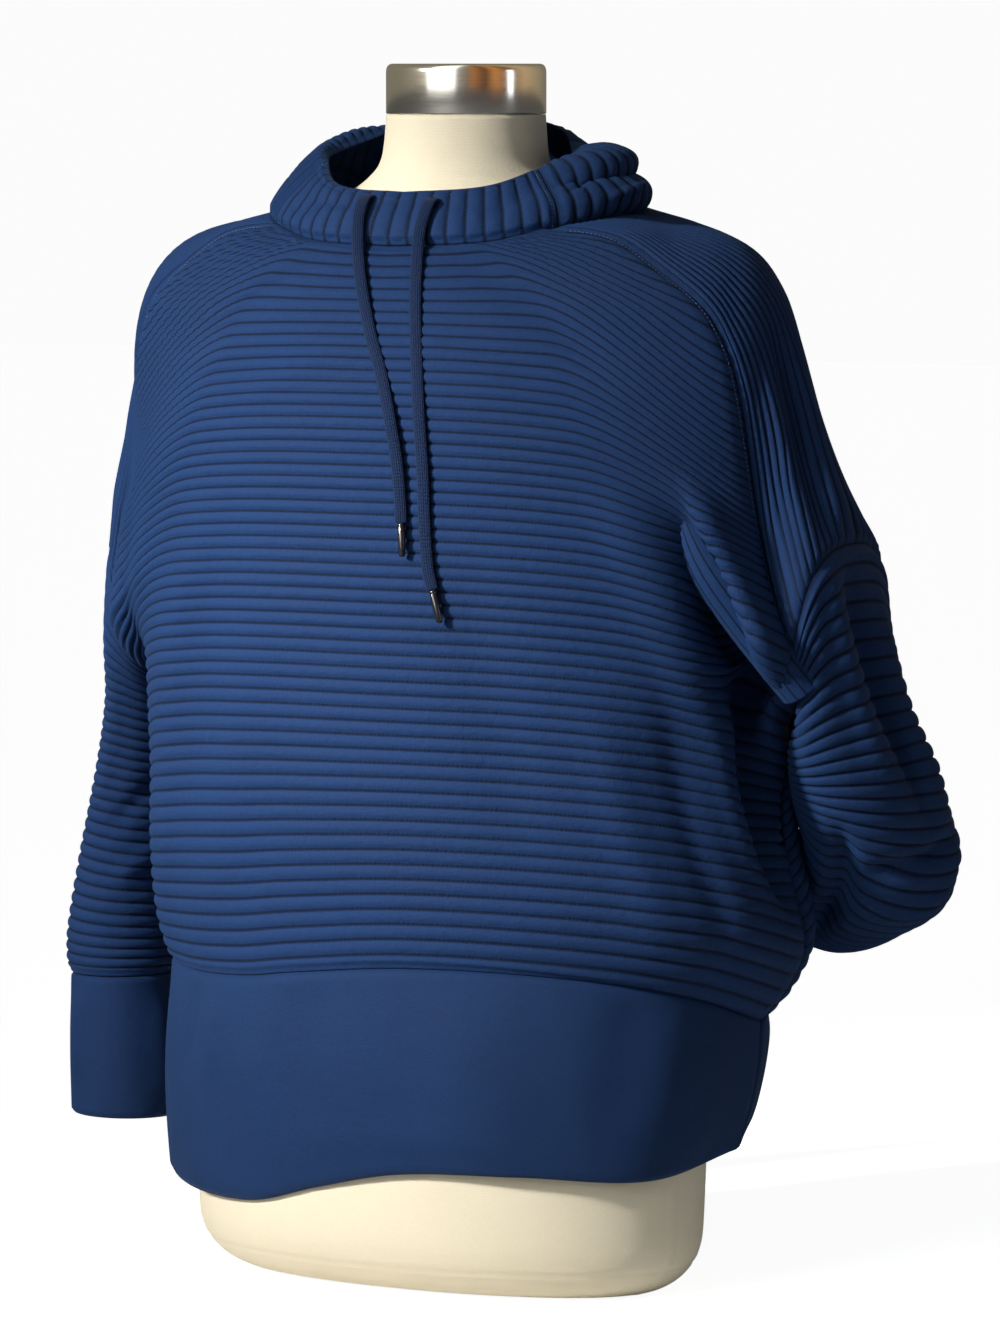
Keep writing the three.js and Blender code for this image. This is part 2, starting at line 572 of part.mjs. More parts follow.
const PLAIN_ROWS = [0, 4, 8, 12, 16, 20, 26, 32, 38, 42, 45, 48, 54, 60, 68, 76, 84, 94, 104, 112];
const ROWS = { ribs: 'rows', innerRow: PLAIN_ROWS, trim: 0.25 };
const AROUND = { ribs: 'rows', innerRow: 6, trim: 0.4 };
const ALONG = { ribs: 'columns', innerColumn: 4, trim: 0.4 };
const PLAIN = { thick: PLAIN_WALL, trim: 0.15 };
const loop = (surface, side) => (angle, share) => {
  const [x, y, z] = surface(angle, share);
  return [x * side, y, z];
};
const leftSleeve = (angle, share) => lowerSleeve(BENT_SLEEVE, angle, share, 1);
const rightSleeve = (angle, share) => lowerSleeve(HANGING_SLEEVE, angle, share, -1);
const CLOTH_PIECES = [
  ['front_panel', frontPanel, FRONT_PLACES, bodyRows, { flip: -1 }, ROWS, CLOTH],
  ['back_panel', backPanel, BACK_PLACES, bodyRows, { flip: 1 }, ROWS, CLOTH],
  ['left_upper_sleeve', (place, share) => upperSleeve(place, share, 1), sleeveColumns, SLEEVE_ROWS,
    { flip: -1 }, ALONG, CLOTH],
  ['right_upper_sleeve', (place, share) => upperSleeve(place, share, -1), sleeveColumns, SLEEVE_ROWS,
    { flip: 1 }, ALONG, CLOTH],
  ['left_lower_sleeve', loop(leftSleeve, 1), armAngles, lowerRows,
    { closed: true, flip: -1 }, AROUND, CLOTH],
  ['right_lower_sleeve', loop(rightSleeve, -1), armAngles, lowerRows,
    { closed: true, flip: 1 }, AROUND, CLOTH],
  ['left_cuff', loop((a, s) => tube(BENT_CUFF, a, s), 1), armAngles, cuffRows,
    { closed: true, flip: -1 }, PLAIN, PLAIN_CLOTH],
  ['right_cuff', loop((a, s) => tube(HANGING_CUFF, a, s), -1), armAngles, cuffRows,
    { closed: true, flip: 1 }, PLAIN, PLAIN_CLOTH],
  ['collar_front', hood, collarColumns, hoodRows, { flip: 1 }, ALONG, CLOTH],
  ['hood_left', hood, hoodLeftColumns, hoodRows, { flip: 1 }, ALONG, CLOTH],
  ['hood_right', hood, hoodRightColumns, hoodRows, { flip: 1 }, ALONG, CLOTH],
  ['hem_band_front', (place, share) => hemBand(place, share, true), FRONT_PLACES, hemRows,
    { flip: -1 }, PLAIN, PLAIN_CLOTH],
  ['hem_band_back', (place, share) => hemBand(place, share, false), BACK_PLACES, hemRows,
    { flip: 1 }, PLAIN, PLAIN_CLOTH],
];
const sheets = CLOTH_PIECES.map(([, surface, columns, rows, options]) => {
  return grid(surface, columns, rows, options);
});
shareSeams(sheets);
CLOTH_PIECES.forEach(([name, , , , , build, look], i) => piece(name, wall(sheets[i], build), look));

// Dress form: height, half width, half depth, centre in Y, squareness of the section
const FORM_SECTIONS = [
  [0, 148, 60, -22, 2.1],
  [4, 165, 80, -23, 2.1],
  [14, 180, 96, -24, 2.1],
  [30, 190, 108, -25, 2.1],
  [56, 193, 113, -25, 2.1],
  [125, 194, 114, -25, 2.1],
  [205, 183, 111, -22, 2.1],
  [325, 152, 104, -18, 2.1],
  [430, 160, 110, -18, 2.2],
  [526, 176, 118, -18, 2.3],
  [596, 186, 113, -14, 2.4],
  [648, 196, 103, -8, 2.5],
  [684, 202, 92, -4, 2.5],
  [712, 194, 82, -3, 2.4],
  [728.6, 173, 74, -3, 2.2],
  [740.4, 146, 68, -4, 2],
  [750.6, 112, 65, -4, 2],
  [761, 87, 63, -4, 2],
  [772, 69, 60, -3, 2],
  [786, 59, 57.5, -1, 2],
  [816, 55.6, 55.6, 0, 2],
];
const FORM_COLUMNS = 24;
function formGeometry() {
  const positions = [];
  const faces = [];
  for (const [z, a, b, cy, square] of FORM_SECTIONS) {
    for (let i = 0; i < FORM_COLUMNS; i += 1) {
      const angle = (i * 2 * Math.PI) / FORM_COLUMNS;
      const power = (value) => Math.sign(value) * Math.abs(value) ** (2 / square);
      positions.push(a * power(Math.cos(angle)), cy + b * power(Math.sin(angle)), z);
    }
  }
  const rows = FORM_SECTIONS.length;
  const at = (j, i) => j * FORM_COLUMNS + (i % FORM_COLUMNS);
  for (let j = 0; j < rows - 1; j += 1) {
    for (let i = 0; i < FORM_COLUMNS; i += 1) {
      faces.push(at(j, i), at(j, i + 1), at(j + 1, i), at(j, i + 1), at(j + 1, i + 1), at(j + 1, i));
    }
  }
  const [first, lastRow] = [FORM_SECTIONS[0], FORM_SECTIONS[rows - 1]];
  positions.push(0, first[3], first[0], 0, lastRow[3], lastRow[0]);
  const [bottom, top] = [rows * FORM_COLUMNS, rows * FORM_COLUMNS + 1];
  for (let i = 0; i < FORM_COLUMNS; i += 1) {
    faces.push(bottom, at(0, i + 1), at(0, i), top, at(rows - 1, i), at(rows - 1, i + 1));
  }
  const geometry = new THREE.BufferGeometry();
  geometry.setAttribute('position', new THREE.Float32BufferAttribute(positions, 3));
  geometry.setIndex(faces);
  return geometry;
}
piece('dress_form', formGeometry(), { color: 0xeadfc4, roughness: 0.8, metalness: 0 });

// Neck cap, a polished metal drum leaning slightly forwards
const CAP_RADIUS = 56;
const CAP_BOTTOM = 816.3;
const CAP_HEIGHT = 35;
const CAP_ROUND = 4;
const capProfile = [
  [0, 0], [CAP_RADIUS - 0.8, 0], [CAP_RADIUS, 0.8], [CAP_RADIUS, CAP_HEIGHT - CAP_ROUND],
  [CAP_RADIUS - 1.2, CAP_HEIGHT - 1.2], [CAP_RADIUS - CAP_ROUND, CAP_HEIGHT], [0, CAP_HEIGHT],
].map(([r, y]) => new THREE.Vector2(r, y));
const cap = new THREE.LatheGeometry(capProfile, 30);
cap.rotateX(Math.PI / 2);
cap.translate(0, 0, CAP_BOTTOM);
piece('neck_cap', cap, { color: 0xc8c6c0, roughness: 0.15, metalness: 1 });

// Drawcords, flat braid hanging from the casing, with a tip on each
const CORD_HALF_WIDTH = 3.8;
const CORD_HALF_THICK = 2;
const CORD_SIDES = 8;
const CORDS = {
  right: [
    [-26, -86.5, 760], [-27, -93, 759], [-27, -99.5, 751], [-26, -104, 738], [-23, -109, 722],
    [-15, -118, 700], [-2, -128, 668], [12, -137, 640], [24, -146, 610], [32, -150, 580],
    [36, -152, 550], [37, -153, 540],
  ],
  left: [
    [26, -86.8, 758], [25, -93.5, 757], [24, -99, 749], [23, -104, 736], [24, -109, 718],
    [29, -120, 688], [37, -132, 652], [45, -142.5, 612], [51, -148, 575], [54, -150.5, 540],
    [57, -151.5, 510], [61, -152, 495],
  ],
};
const TIP_LENGTH = 23;
const TIP_RADIUS = 2.6;
const section = new THREE.Shape(steps(0, 2 * Math.PI, CORD_SIDES).slice(0, -1).map((angle) => {
  return new THREE.Vector2(CORD_HALF_THICK * Math.sin(angle), CORD_HALF_WIDTH * Math.cos(angle));
}));
for (const [side, route] of Object.entries(CORDS)) {
  const path = new THREE.CatmullRomCurve3(route.map((p) => new THREE.Vector3(...p)), false, 'centripetal');
  const cord = new THREE.ExtrudeGeometry(section, { steps: 20, extrudePath: path, bevelEnabled: false });
  piece(`${side}_drawcord`, cord, { color: 0x16213f, roughness: 0.9, metalness: 0 });
  const [end, way] = [path.getPoint(1), path.getTangent(1)];
  const tip = new THREE.CylinderGeometry(TIP_RADIUS, TIP_RADIUS * 0.8, TIP_LENGTH, 10);
  tip.rotateX(Math.PI / 2);
  tip.applyQuaternion(new THREE.Quaternion().setFromUnitVectors(new THREE.Vector3(0, 0, -1), way));
  const middle = end.clone().addScaledVector(way, TIP_LENGTH / 2 + SEAM_GAP);
  tip.translate(middle.x, middle.y, middle.z);
  piece(`${side}_cord_tip`, tip, { color: 0x0e1116, roughness: 0.25, metalness: 0 });
}

export default model;
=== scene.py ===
import math

import bmesh
import bpy
import numpy as np
from mathutils import Matrix, Vector


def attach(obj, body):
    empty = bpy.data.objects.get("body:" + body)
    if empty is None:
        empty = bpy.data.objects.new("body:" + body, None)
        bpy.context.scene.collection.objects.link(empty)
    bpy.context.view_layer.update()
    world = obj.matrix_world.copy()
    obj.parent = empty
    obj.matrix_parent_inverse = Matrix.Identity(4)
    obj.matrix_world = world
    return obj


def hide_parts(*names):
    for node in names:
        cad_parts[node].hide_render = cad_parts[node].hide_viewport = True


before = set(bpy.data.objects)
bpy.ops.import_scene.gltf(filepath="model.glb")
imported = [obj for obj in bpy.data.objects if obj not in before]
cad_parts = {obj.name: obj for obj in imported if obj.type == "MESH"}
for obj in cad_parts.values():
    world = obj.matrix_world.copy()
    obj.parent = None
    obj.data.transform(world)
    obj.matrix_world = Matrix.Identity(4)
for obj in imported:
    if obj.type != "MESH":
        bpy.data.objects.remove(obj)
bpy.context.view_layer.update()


# Studio: the camera stands five metres off, a little to the wearer's left, and looks slightly down.
# A large soft light from the front left does the work, a weak one on the right keeps the folds readable.
CAMERA_PLACE = (2.5, -4.3301, 0.85)
CAMERA_TURN = 29.73
CAMERA_TILT = 4.81
CAMERA_LENS = 192.9

turn, tilt = math.radians(CAMERA_TURN), math.radians(CAMERA_TILT)
looks_to = Vector((-math.sin(turn) * math.cos(tilt), math.cos(turn) * math.cos(tilt), -math.sin(tilt)))
camera = bpy.data.objects.new("camera", bpy.data.cameras.new("camera"))
camera.data.sensor_fit = "VERTICAL"
camera.data.sensor_height = 36
camera.data.lens = CAMERA_LENS
camera.data.clip_end = 60
camera.location = CAMERA_PLACE
camera.rotation_euler = looks_to.to_track_quat("-Z", "Y").to_euler()
bpy.context.collection.objects.link(camera)
bpy.context.scene.camera = camera
bpy.context.scene.view_settings.view_transform = "Standard"


def softbox(name, place, target, size, power, colour, beam=180):
    light = bpy.data.lights.new(name, "AREA")
    light.spread = math.radians(beam)
    light.shape = "RECTANGLE"
    light.size, light.size_y = size
    light.energy = power
    light.color = colour
    lamp = bpy.data.objects.new(name, light)
    lamp.location = place
    lamp.rotation_euler = (Vector(target) - Vector(place)).to_track_quat("-Z", "Y").to_euler()
    bpy.context.collection.objects.link(lamp)


softbox("key_light", (-1.75, -3.2, 2.0), (-0.08, -0.12, 0.46), (0.5, 0.5), 3.4, (1.0, 0.975, 0.94), 18)
softbox("fill_light", (-0.2, -4.2, 1.6), (0, 0, 0.5), (1.0, 1.0), 26, (1.0, 0.985, 0.96))
softbox("side_light", (3.6, 0.4, 1.2), (0.2, 0, 0.4), (0.6, 1.4), 6, (0.85, 0.93, 1.0))


def add_node(tree, kind, sockets=None, **settings):
    node = tree.nodes.new(kind)
    for key, value in settings.items():
        setattr(node, key, value)
    for socket, value in (sockets or {}).items():
        if isinstance(value, bpy.types.NodeSocket):
            tree.links.new(value, node.inputs[socket])
        else:
            node.inputs[socket].default_value = value
    return node


def finish_of(name, sockets):
    """A new material, its node tree and its Principled shader with the given values."""
    material = bpy.data.materials.new(name)
    material.use_nodes = True
    shader = material.node_tree.nodes["Principled BSDF"]
    for socket, value in sockets.items():
        shader.inputs[socket].default_value = value
    return material, material.node_tree, shader


world = bpy.data.worlds.new("studio")
world.use_nodes = True
bpy.context.scene.world = world
sky = world.node_tree
dim = sky.nodes["Background"]
dim.inputs["Color"].default_value = (0.86, 0.92, 1, 1)
dim.inputs["Strength"].default_value = 0.06
bright = add_node(sky, "ShaderNodeBackground", {"Color": (0.97, 0.97, 0.97, 1), "Strength": 1.0})
# What polished metal mirrors: a bright window ahead, khaki wall on the left, brown wood on the right.
ROOM = [
    (0, (0.20, 0.18, 0.14)), (0.28, (0.22, 0.20, 0.15)), (0.42, (0.34, 0.31, 0.23)), (0.425, (1.9, 1.9, 1.85)),
    (0.535, (1.9, 1.9, 1.85)), (0.545, (0.30, 0.29, 0.27)), (0.59, (0.22, 0.17, 0.12)), (0.61, (0.42, 0.17, 0.05)),
    (0.66, (0.10, 0.05, 0.03)), (0.70, (0.55, 0.24, 0.07)), (0.76, (0.16, 0.08, 0.04)), (0.84, (0.50, 0.36, 0.2)),
    (1, (0.20, 0.18, 0.14)),
]
way = add_node(sky, "ShaderNodeSeparateXYZ", {0: add_node(sky, "ShaderNodeTexCoord").outputs["Generated"]}).outputs
back = add_node(sky, "ShaderNodeMath", {0: way["Y"], 1: -1.0}, operation="MULTIPLY").outputs[0]
turned = add_node(sky, "ShaderNodeMath", {0: way["X"], 1: back}, operation="ARCTAN2").outputs[0]
place = add_node(sky, "ShaderNodeMapRange", {"Value": turned, "From Min": -math.pi, "From Max": math.pi}).outputs[0]
room = add_node(sky, "ShaderNodeValToRGB", {0: place})
for stop, colour in ROOM[1:-1]:
    room.color_ramp.elements.new(stop).color = (*colour, 1)
room.color_ramp.elements[0].color = (*ROOM[0][1], 1)
room.color_ramp.elements[-1].color = (*ROOM[-1][1], 1)
mirrored = add_node(sky, "ShaderNodeBackground", {"Color": room.outputs[0], "Strength": 1.0})
ray = add_node(sky, "ShaderNodeLightPath").outputs
mixed = add_node(sky, "ShaderNodeMixShader", {0: ray["Is Glossy Ray"], 1: dim.outputs[0], 2: mirrored.outputs[0]})
mixed = add_node(sky, "ShaderNodeMixShader", {0: ray["Is Camera Ray"], 1: mixed.outputs[0], 2: bright.outputs[0]})
sky.links.new(mixed.outputs[0], sky.nodes["World Output"].inputs["Surface"])

bm = bmesh.new()
bmesh.ops.create_grid(bm, x_segments=1, y_segments=1, size=14)
floor_mesh = bpy.data.meshes.new("floor")
bm.to_mesh(floor_mesh)
bm.free()
floor = bpy.data.objects.new("floor", floor_mesh)
bpy.context.collection.objects.link(floor)
floor_finish, tree, shader = finish_of("floor_paper", {"Base Color": (0.93, 0.93, 0.93, 1), "Roughness": 0.9})
shader.inputs["Emission Color"].default_value = (1, 1, 1, 1)
seen = add_node(tree, "ShaderNodeLightPath").outputs["Is Camera Ray"]
glow = add_node(tree, "ShaderNodeMath", {0: seen, 1: 0.9}, operation="MULTIPLY").outputs[0]
tree.links.new(glow, shader.inputs["Emission Strength"])
floor_mesh.materials.append(floor_finish)


# Drawcords: flat braided cords, about 8 mm wide, which come out of the collar casing and hang freely
# over the chest. The route is the one of the solid cords, in metres; each ends in a hard tip.
CORD_HALF_WIDTH = 0.0042
CORD_HALF_THICK = 0.0016
CORD_FACE = np.array([0.9, 0.43, 0])
CORD_ROUTES = {
    "right": [
        (-0.026, -0.0865, 0.760), (-0.027, -0.093, 0.759), (-0.027, -0.0995, 0.751), (-0.026, -0.104, 0.738),
        (-0.023, -0.109, 0.722), (-0.015, -0.118, 0.700), (-0.002, -0.128, 0.668), (0.012, -0.137, 0.640),
        (0.024, -0.146, 0.610), (0.032, -0.150, 0.580), (0.036, -0.152, 0.550), (0.037, -0.153, 0.540),
    ],
    "left": [
        (0.026, -0.0868, 0.758), (0.025, -0.0935, 0.757), (0.024, -0.099, 0.749), (0.023, -0.104, 0.736),
        (0.024, -0.109, 0.718), (0.029, -0.120, 0.688), (0.037, -0.132, 0.652), (0.045, -0.1425, 0.612),
        (0.051, -0.148, 0.575), (0.054, -0.1505, 0.540), (0.057, -0.1515, 0.510), (0.061, -0.152, 0.495),
    ],
}
TIP_PROFILE = [
    (0, 0.0004), (0.0021, 0.0004), (0.0025, 0.0009), (0.0026, 0.0020), (0.00235, 0.0026), (0.0026, 0.0032),
    (0.0025, 0.0130), (0.0022, 0.0218), (0.0018, 0.0229), (0, 0.0233),
]


def along(rows, place):
    """Reads a table of [place, ...values] rows along a smooth curve through them."""
    table = np.asarray(rows, float)
    keys, values = table[:, 0], table[:, 1:]
    return follow(keys, values, np.asarray(place, float))


def follow(keys, values, place):
    """The same with the values (rows, n), or one set of rows for each place (..., rows, n)."""
    steps = np.diff(values, axis=-2) / np.diff(keys)[:, None]
    inner = (values[..., 2:, :] - values[..., :-2, :]) / (keys[2:] - keys[:-2])[:, None]
    slopes = np.concatenate([steps[..., :1, :], inner, steps[..., -1:, :]], axis=-2)
    i = np.clip(np.searchsorted(keys, place) - 1, 0, len(keys) - 2)

    def at(table, k):
        if table.ndim == 2:
            return table[k]
        return np.take_along_axis(table, k[..., None, None], axis=-2)[..., 0, :]

    span = (keys[i + 1] - keys[i])[..., None]
    u = (place[..., None] - keys[i][..., None]) / span
    start, end = at(values, i), at(values, i + 1)
    slope_start, slope_end = at(slopes, i), at(slopes, i + 1)
    bend = slope_start * u * (1 - u) ** 2 + slope_end * u * u * (u - 1)
    return start + (end - start) * u * u * (3 - 2 * u) + span * bend


def mix(a, b, t):
    return a + (b - a) * t


def unit(vectors):
    return vectors / np.maximum(np.linalg.norm(vectors, axis=-1, keepdims=True), 1e-12)


def shaped(name, across, down, put, tube=False, walled=True):
    """A grid bent into shape. put(u, v, outer) gives the metres, UV and named values of its corners;
    a walled grid is doubled first, and a tube closes on itself."""
    bm = bmesh.new()
    bmesh.ops.create_grid(bm, x_segments=across, y_segments=down, size=1)
    if walled:
        grown = bmesh.ops.extrude_face_region(bm, geom=bm.faces[:] + bm.edges[:], use_keep_orig=True)["geom"]
        bmesh.ops.translate(bm, vec=(0, 0, 1), verts=[v for v in grown if isinstance(v, bmesh.types.BMVert)])
    if tube and walled:
        sides = [f for f in bm.faces if abs(abs(f.calc_center_median().x) - 1) < 1e-5]
        bmesh.ops.delete(bm, geom=sides, context="FACES_ONLY")
    mesh = bpy.data.meshes.new(name)
    bm.to_mesh(mesh)
    flat = np.empty(3 * len(mesh.vertices))
    mesh.vertices.foreach_get("co", flat)
    u, v, outer = flat.reshape(-1, 3).T
    metres, uv, values = put(u, (v + 1) / 2, outer > 0.5)
    mesh.vertices.foreach_set("co", metres.ravel())
    corners = np.empty(len(mesh.loops), int)
    mesh.loops.foreach_get("vertex_index", corners)
    mesh.uv_layers.new(name="UVMap").data.foreach_set("uv", uv[corners].ravel())
    for key, value in values.items():
        mesh.attributes.new(key, "FLOAT", "POINT").data.foreach_set("value", value)
    bm.clear()
    bm.from_mesh(mesh)
    if tube:
        bmesh.ops.remove_doubles(bm, verts=bm.verts[:], dist=2e-6)
    if not walled:
        bmesh.ops.holes_fill(bm, edges=[e for e in bm.edges if e.is_boundary], sides=0)
    bmesh.ops.recalc_face_normals(bm, faces=bm.faces[:])
    for face in bm.faces:
        face.smooth = True
    bm.to_mesh(mesh)
    bm.free()
    made = bpy.data.objects.new(name, mesh)
    bpy.context.collection.objects.link(made)
    return made


def node_group(name, inputs, outputs):
    tree = bpy.data.node_groups.new(name, "ShaderNodeTree")
    for label, kind, value in inputs:
        socket = tree.interface.new_socket(label, in_out="INPUT", socket_type=kind)
        socket.default_value = value
    for label, kind in outputs:
        tree.interface.new_socket(label, in_out="OUTPUT", socket_type=kind)
    return tree, tree.nodes.new("NodeGroupInput").outputs, tree.nodes.new("NodeGroupOutput").inputs


# Knit: small V-shaped loops in rows, in metres of cloth, with heathered yarn and a slightly uneven dye.
KNIT, given, gives = node_group(
    "knit",
    [("Colour", "NodeSocketColor", (0.02, 0.04, 0.13, 1)), ("Loop", "NodeSocketFloat", 0.0012),
     ("Heather", "NodeSocketFloat", 0.3)],
    [("Colour", "NodeSocketColor"), ("Roughness", "NodeSocketFloat"), ("Height", "NodeSocketFloat")],
)
coords = add_node(KNIT, "ShaderNodeTexCoord").outputs
loops = add_node(KNIT, "ShaderNodeVectorMath", {0: coords["UV"]}, operation="SCALE")
per_metre = add_node(KNIT, "ShaderNodeMath", {0: 1.0, 1: given["Loop"]}, operation="DIVIDE").outputs[0]
KNIT.links.new(per_metre, loops.inputs["Scale"])
parts = add_node(KNIT, "ShaderNodeSeparateXYZ", {0: loops.outputs[0]}).outputs
zigzag = add_node(KNIT, "ShaderNodeMath", {0: parts["X"], 1: 0.5}, operation="PINGPONG").outputs[0]
course = add_node(KNIT, "ShaderNodeMath", {0: parts["Y"], 1: zigzag}, operation="ADD").outputs[0]
course = add_node(KNIT, "ShaderNodeMath", {0: course, 1: 0.5}, operation="PINGPONG").outputs[0]
wale = add_node(KNIT, "ShaderNodeMath", {0: parts["X"], 1: 0.25}, operation="PINGPONG").outputs[0]
relief = add_node(KNIT, "ShaderNodeMath", {0: wale, 1: 1.6, 2: course}, operation="MULTIPLY_ADD").outputs[0]
yarn = add_node(KNIT, "ShaderNodeTexNoise", {"Vector": coords["Object"], "Scale": 950, "Detail": 2}).outputs[0]
dye = add_node(KNIT, "ShaderNodeTexNoise", {"Vector": coords["Object"], "Scale": 16, "Detail": 3}).outputs[0]
height = add_node(KNIT, "ShaderNodeMath", {0: yarn, 1: 0.8, 2: relief}, operation="MULTIPLY_ADD").outputs[0]
uneven = add_node(KNIT, "ShaderNodeMath", {0: dye, 1: 0.5, 2: yarn}, operation="MULTIPLY_ADD").outputs[0]
uneven = add_node(KNIT, "ShaderNodeMath", {0: uneven, 1: 0.75}, operation="SUBTRACT").outputs[0]
value = add_node(KNIT, "ShaderNodeMath", {0: uneven, 1: given["Heather"], 2: 1.0}, operation="MULTIPLY_ADD")
toned = add_node(KNIT, "ShaderNodeHueSaturation", {"Value": value.outputs[0], "Color": given["Colour"]})
KNIT.links.new(toned.outputs[0], gives["Colour"])
rough = add_node(KNIT, "ShaderNodeMath", {0: dye, 1: 0.3, 2: 0.5}, operation="MULTIPLY_ADD").outputs[0]
KNIT.links.new(rough, gives["Roughness"])
KNIT.links.new(height, gives["Height"])


def knitted(name, colour, sockets, loop=0.0012, heather=0.5, relief=0.00022):
    """A knit material; gives the material, its tree, its shader, the knit node and its bump."""
    material, tree, shader = finish_of(name, sockets)
    knit = add_node(tree, "ShaderNodeGroup", {}, node_tree=KNIT)
    knit.inputs["Colour"].default_value = colour
    knit.inputs["Loop"].default_value = loop
    knit.inputs["Heather"].default_value = heather
    bump = add_node(tree, "ShaderNodeBump", {"Height": knit.outputs["Height"], "Distance": relief})
    tree.links.new(knit.outputs["Colour"], shader.inputs["Base Color"])
    tree.links.new(knit.outputs["Roughness"], shader.inputs["Roughness"])
    tree.links.new(bump.outputs[0], shader.inputs["Normal"])
    return material, tree, shader, knit, bump


cord_finish, *_ = knitted(
    "cord_braid", (0.009, 0.024, 0.075, 1), {"Sheen Weight": 0.06, "Specular IOR Level": 0.12},
    loop=0.0022, relief=0.0007,
)
tip_finish, tree, shader = finish_of("cord_tip", {"Base Color": (0.006, 0.008, 0.014, 1), "Coat Weight": 0.6})
scuffs = add_node(tree, "ShaderNodeTexNoise", {"Scale": 420, "Detail": 3,
                                               "Vector": add_node(tree, "ShaderNodeTexCoord").outputs["Object"]})
worn = add_node(tree, "ShaderNodeMapRange", {"Value": scuffs.outputs[0], "To Min": 0.12, "To Max": 0.34})
tree.links.new(worn.outputs[0], shader.inputs["Roughness"])

for side, route in CORD_ROUTES.items():
    route = np.array(route)
    knots = np.append(0, np.cumsum(np.linalg.norm(np.diff(route, axis=0), axis=1) ** 0.5))
    path = np.column_stack([knots / knots[-1], route])

    def put_cord(u, v, outer):
        centre = along(path, v)
        way = unit(along(path, np.minimum(v + 0.004, 1)) - along(path, np.maximum(v - 0.004, 0)))
        flat = unit(CORD_FACE - way * (way @ CORD_FACE)[:, None])
        thick = np.cross(way, flat)
        angle = math.pi * u
        place = centre + flat * (CORD_HALF_WIDTH * np.cos(angle))[:, None]
        place += thick * (CORD_HALF_THICK * np.sign(np.sin(angle)) * abs(np.sin(angle)) ** 0.7)[:, None]
        return place, np.column_stack([(u + 1) * 0.009, v * 0.28]), {}

    cord = shaped(f"{side}_cord", 20, 150, put_cord, tube=True, walled=False)
    cord.data.materials.append(cord_finish)

    end = Vector(route[-1])
    way = (end - Vector(along(path, 0.99))).normalized()
    bm = bmesh.new()
    points = [bm.verts.new((r, 0, -z)) for r, z in TIP_PROFILE]
    profile = [bm.edges.new(pair) for pair in zip(points, points[1:])]
    bmesh.ops.spin(bm, geom=points + profile, axis=(0, 0, 1), angle=2 * math.pi, steps=24, use_merge=True)
    bmesh.ops.remove_doubles(bm, verts=bm.verts[:], dist=1e-6)
    bmesh.ops.recalc_face_normals(bm, faces=bm.faces[:])
    for face in bm.faces:
        face.smooth = True
    bmesh.ops.transform(bm, verts=bm.verts[:], matrix=Matrix.Translation(end) @ way.to_track_quat("-Z", "Y").to_matrix().to_4x4())
    tip_mesh = bpy.data.meshes.new(f"{side}_tip")
    bm.to_mesh(tip_mesh)
    bm.free()
    tip = bpy.data.objects.new(f"{side}_tip", tip_mesh)
    bpy.context.collection.objects.link(tip)
    tip_mesh.materials.append(tip_finish)

    for piece, node, slot in ((cord, f"{side}_drawcord", "cord_braid"), (tip, f"{side}_cord_tip", "cord_tip_dark")):
        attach(piece, "root")
        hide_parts(node)
    length = float(np.linalg.norm(np.diff(along(path, np.linspace(0, 1, 200)), axis=0), axis=1).sum())
    [tuple(p) for p in along(path, np.linspace(0, 1, 30))]


# Front and back panels: double knit quilted in 56 horizontal ribs, cut with raglan shoulders and a
# dropped, wide armhole. Measures are in millimetres of the body, X to the wearer's left, front to -Y.
BODY_RIBS = 56
WALL = 2.2
RIB_RISE = 2.5
NECK_CORNER = 50
NECK_BACK_CORNER = 130
RAGLAN_END_ANGLE = math.radians(-18)
RAGLAN_END = 48 / 112
ARMPIT = 60 / 112
NECK_SEAM = [(0, 726), (30, 729), (50, 737), (90, 746), (130, 752), (180, 755)]
RAGLAN_FRONT = [
    (0, 98.6, -66.6, 737), (0.03, 150, -61, 731), (0.055, 189, -60, 708), (0.08, 219, -56, 684),
    (0.105, 233, -51, 658), (0.135, 239, -47, 634), (0.185, 243, -41, 598), (0.27, 248, -35, 548),
    (0.36, 258, -33, 502),
]
RAGLAN_BACK = [
    (0, 98.6, 46.6, 752), (0.055, 152, 66, 734), (0.105, 190, 76, 702), (0.16, 208, 82, 655),
    (0.25, 227, 84, 590), (0.35, 244.5, 83, 516),
]
SIDE_LEFT = [
    (0.57, 249, 16, 404), (0.61, 246, 15, 381), (0.69, 243, 12, 345), (0.79, 250, 10, 300),
    (0.9, 261, 11, 246), (0.96, 245, 14, 214), (1, 224, 17, 192),
]
SIDE_RIGHT = [
    (0.57, 239, 16, 402), (0.61, 238, 15, 381), (0.7, 234, 12, 338), (0.82, 232, 10, 280),
    (0.93, 227, 10, 240), (1, 219, 12, 222),
]
FRONT_MIDDLE = [
    (0, -98, 726, 1.25, 0), (0.08, -114, 687, 1.3, 0), (0.2, -134, 628, 1.5, 0.3), (0.36, -145, 550, 1.8, 0.7),
    (0.55, -149, 457, 2.4, 1), (0.8, -152, 334, 2.7, 1), (1, -150, 235, 2.4, 1),
]
BACK_MIDDLE = [
    (0, 78, 755, 1.3, 0), (0.08, 103, 713, 1.4, 0), (0.22, 122, 640, 1.7, 0.4), (0.4, 124, 545, 1.9, 0.8),
    (0.6, 114, 440, 2, 1), (0.8, 108, 330, 2, 1), (1, 106, 222, 2, 1),
]
BAND_LINE = [(-1, 0), (-0.72, -9), (-0.5, -16), (-0.3, -15), (-0.15, -9), (0.1, -1), (0.5, 0), (1, 0)]
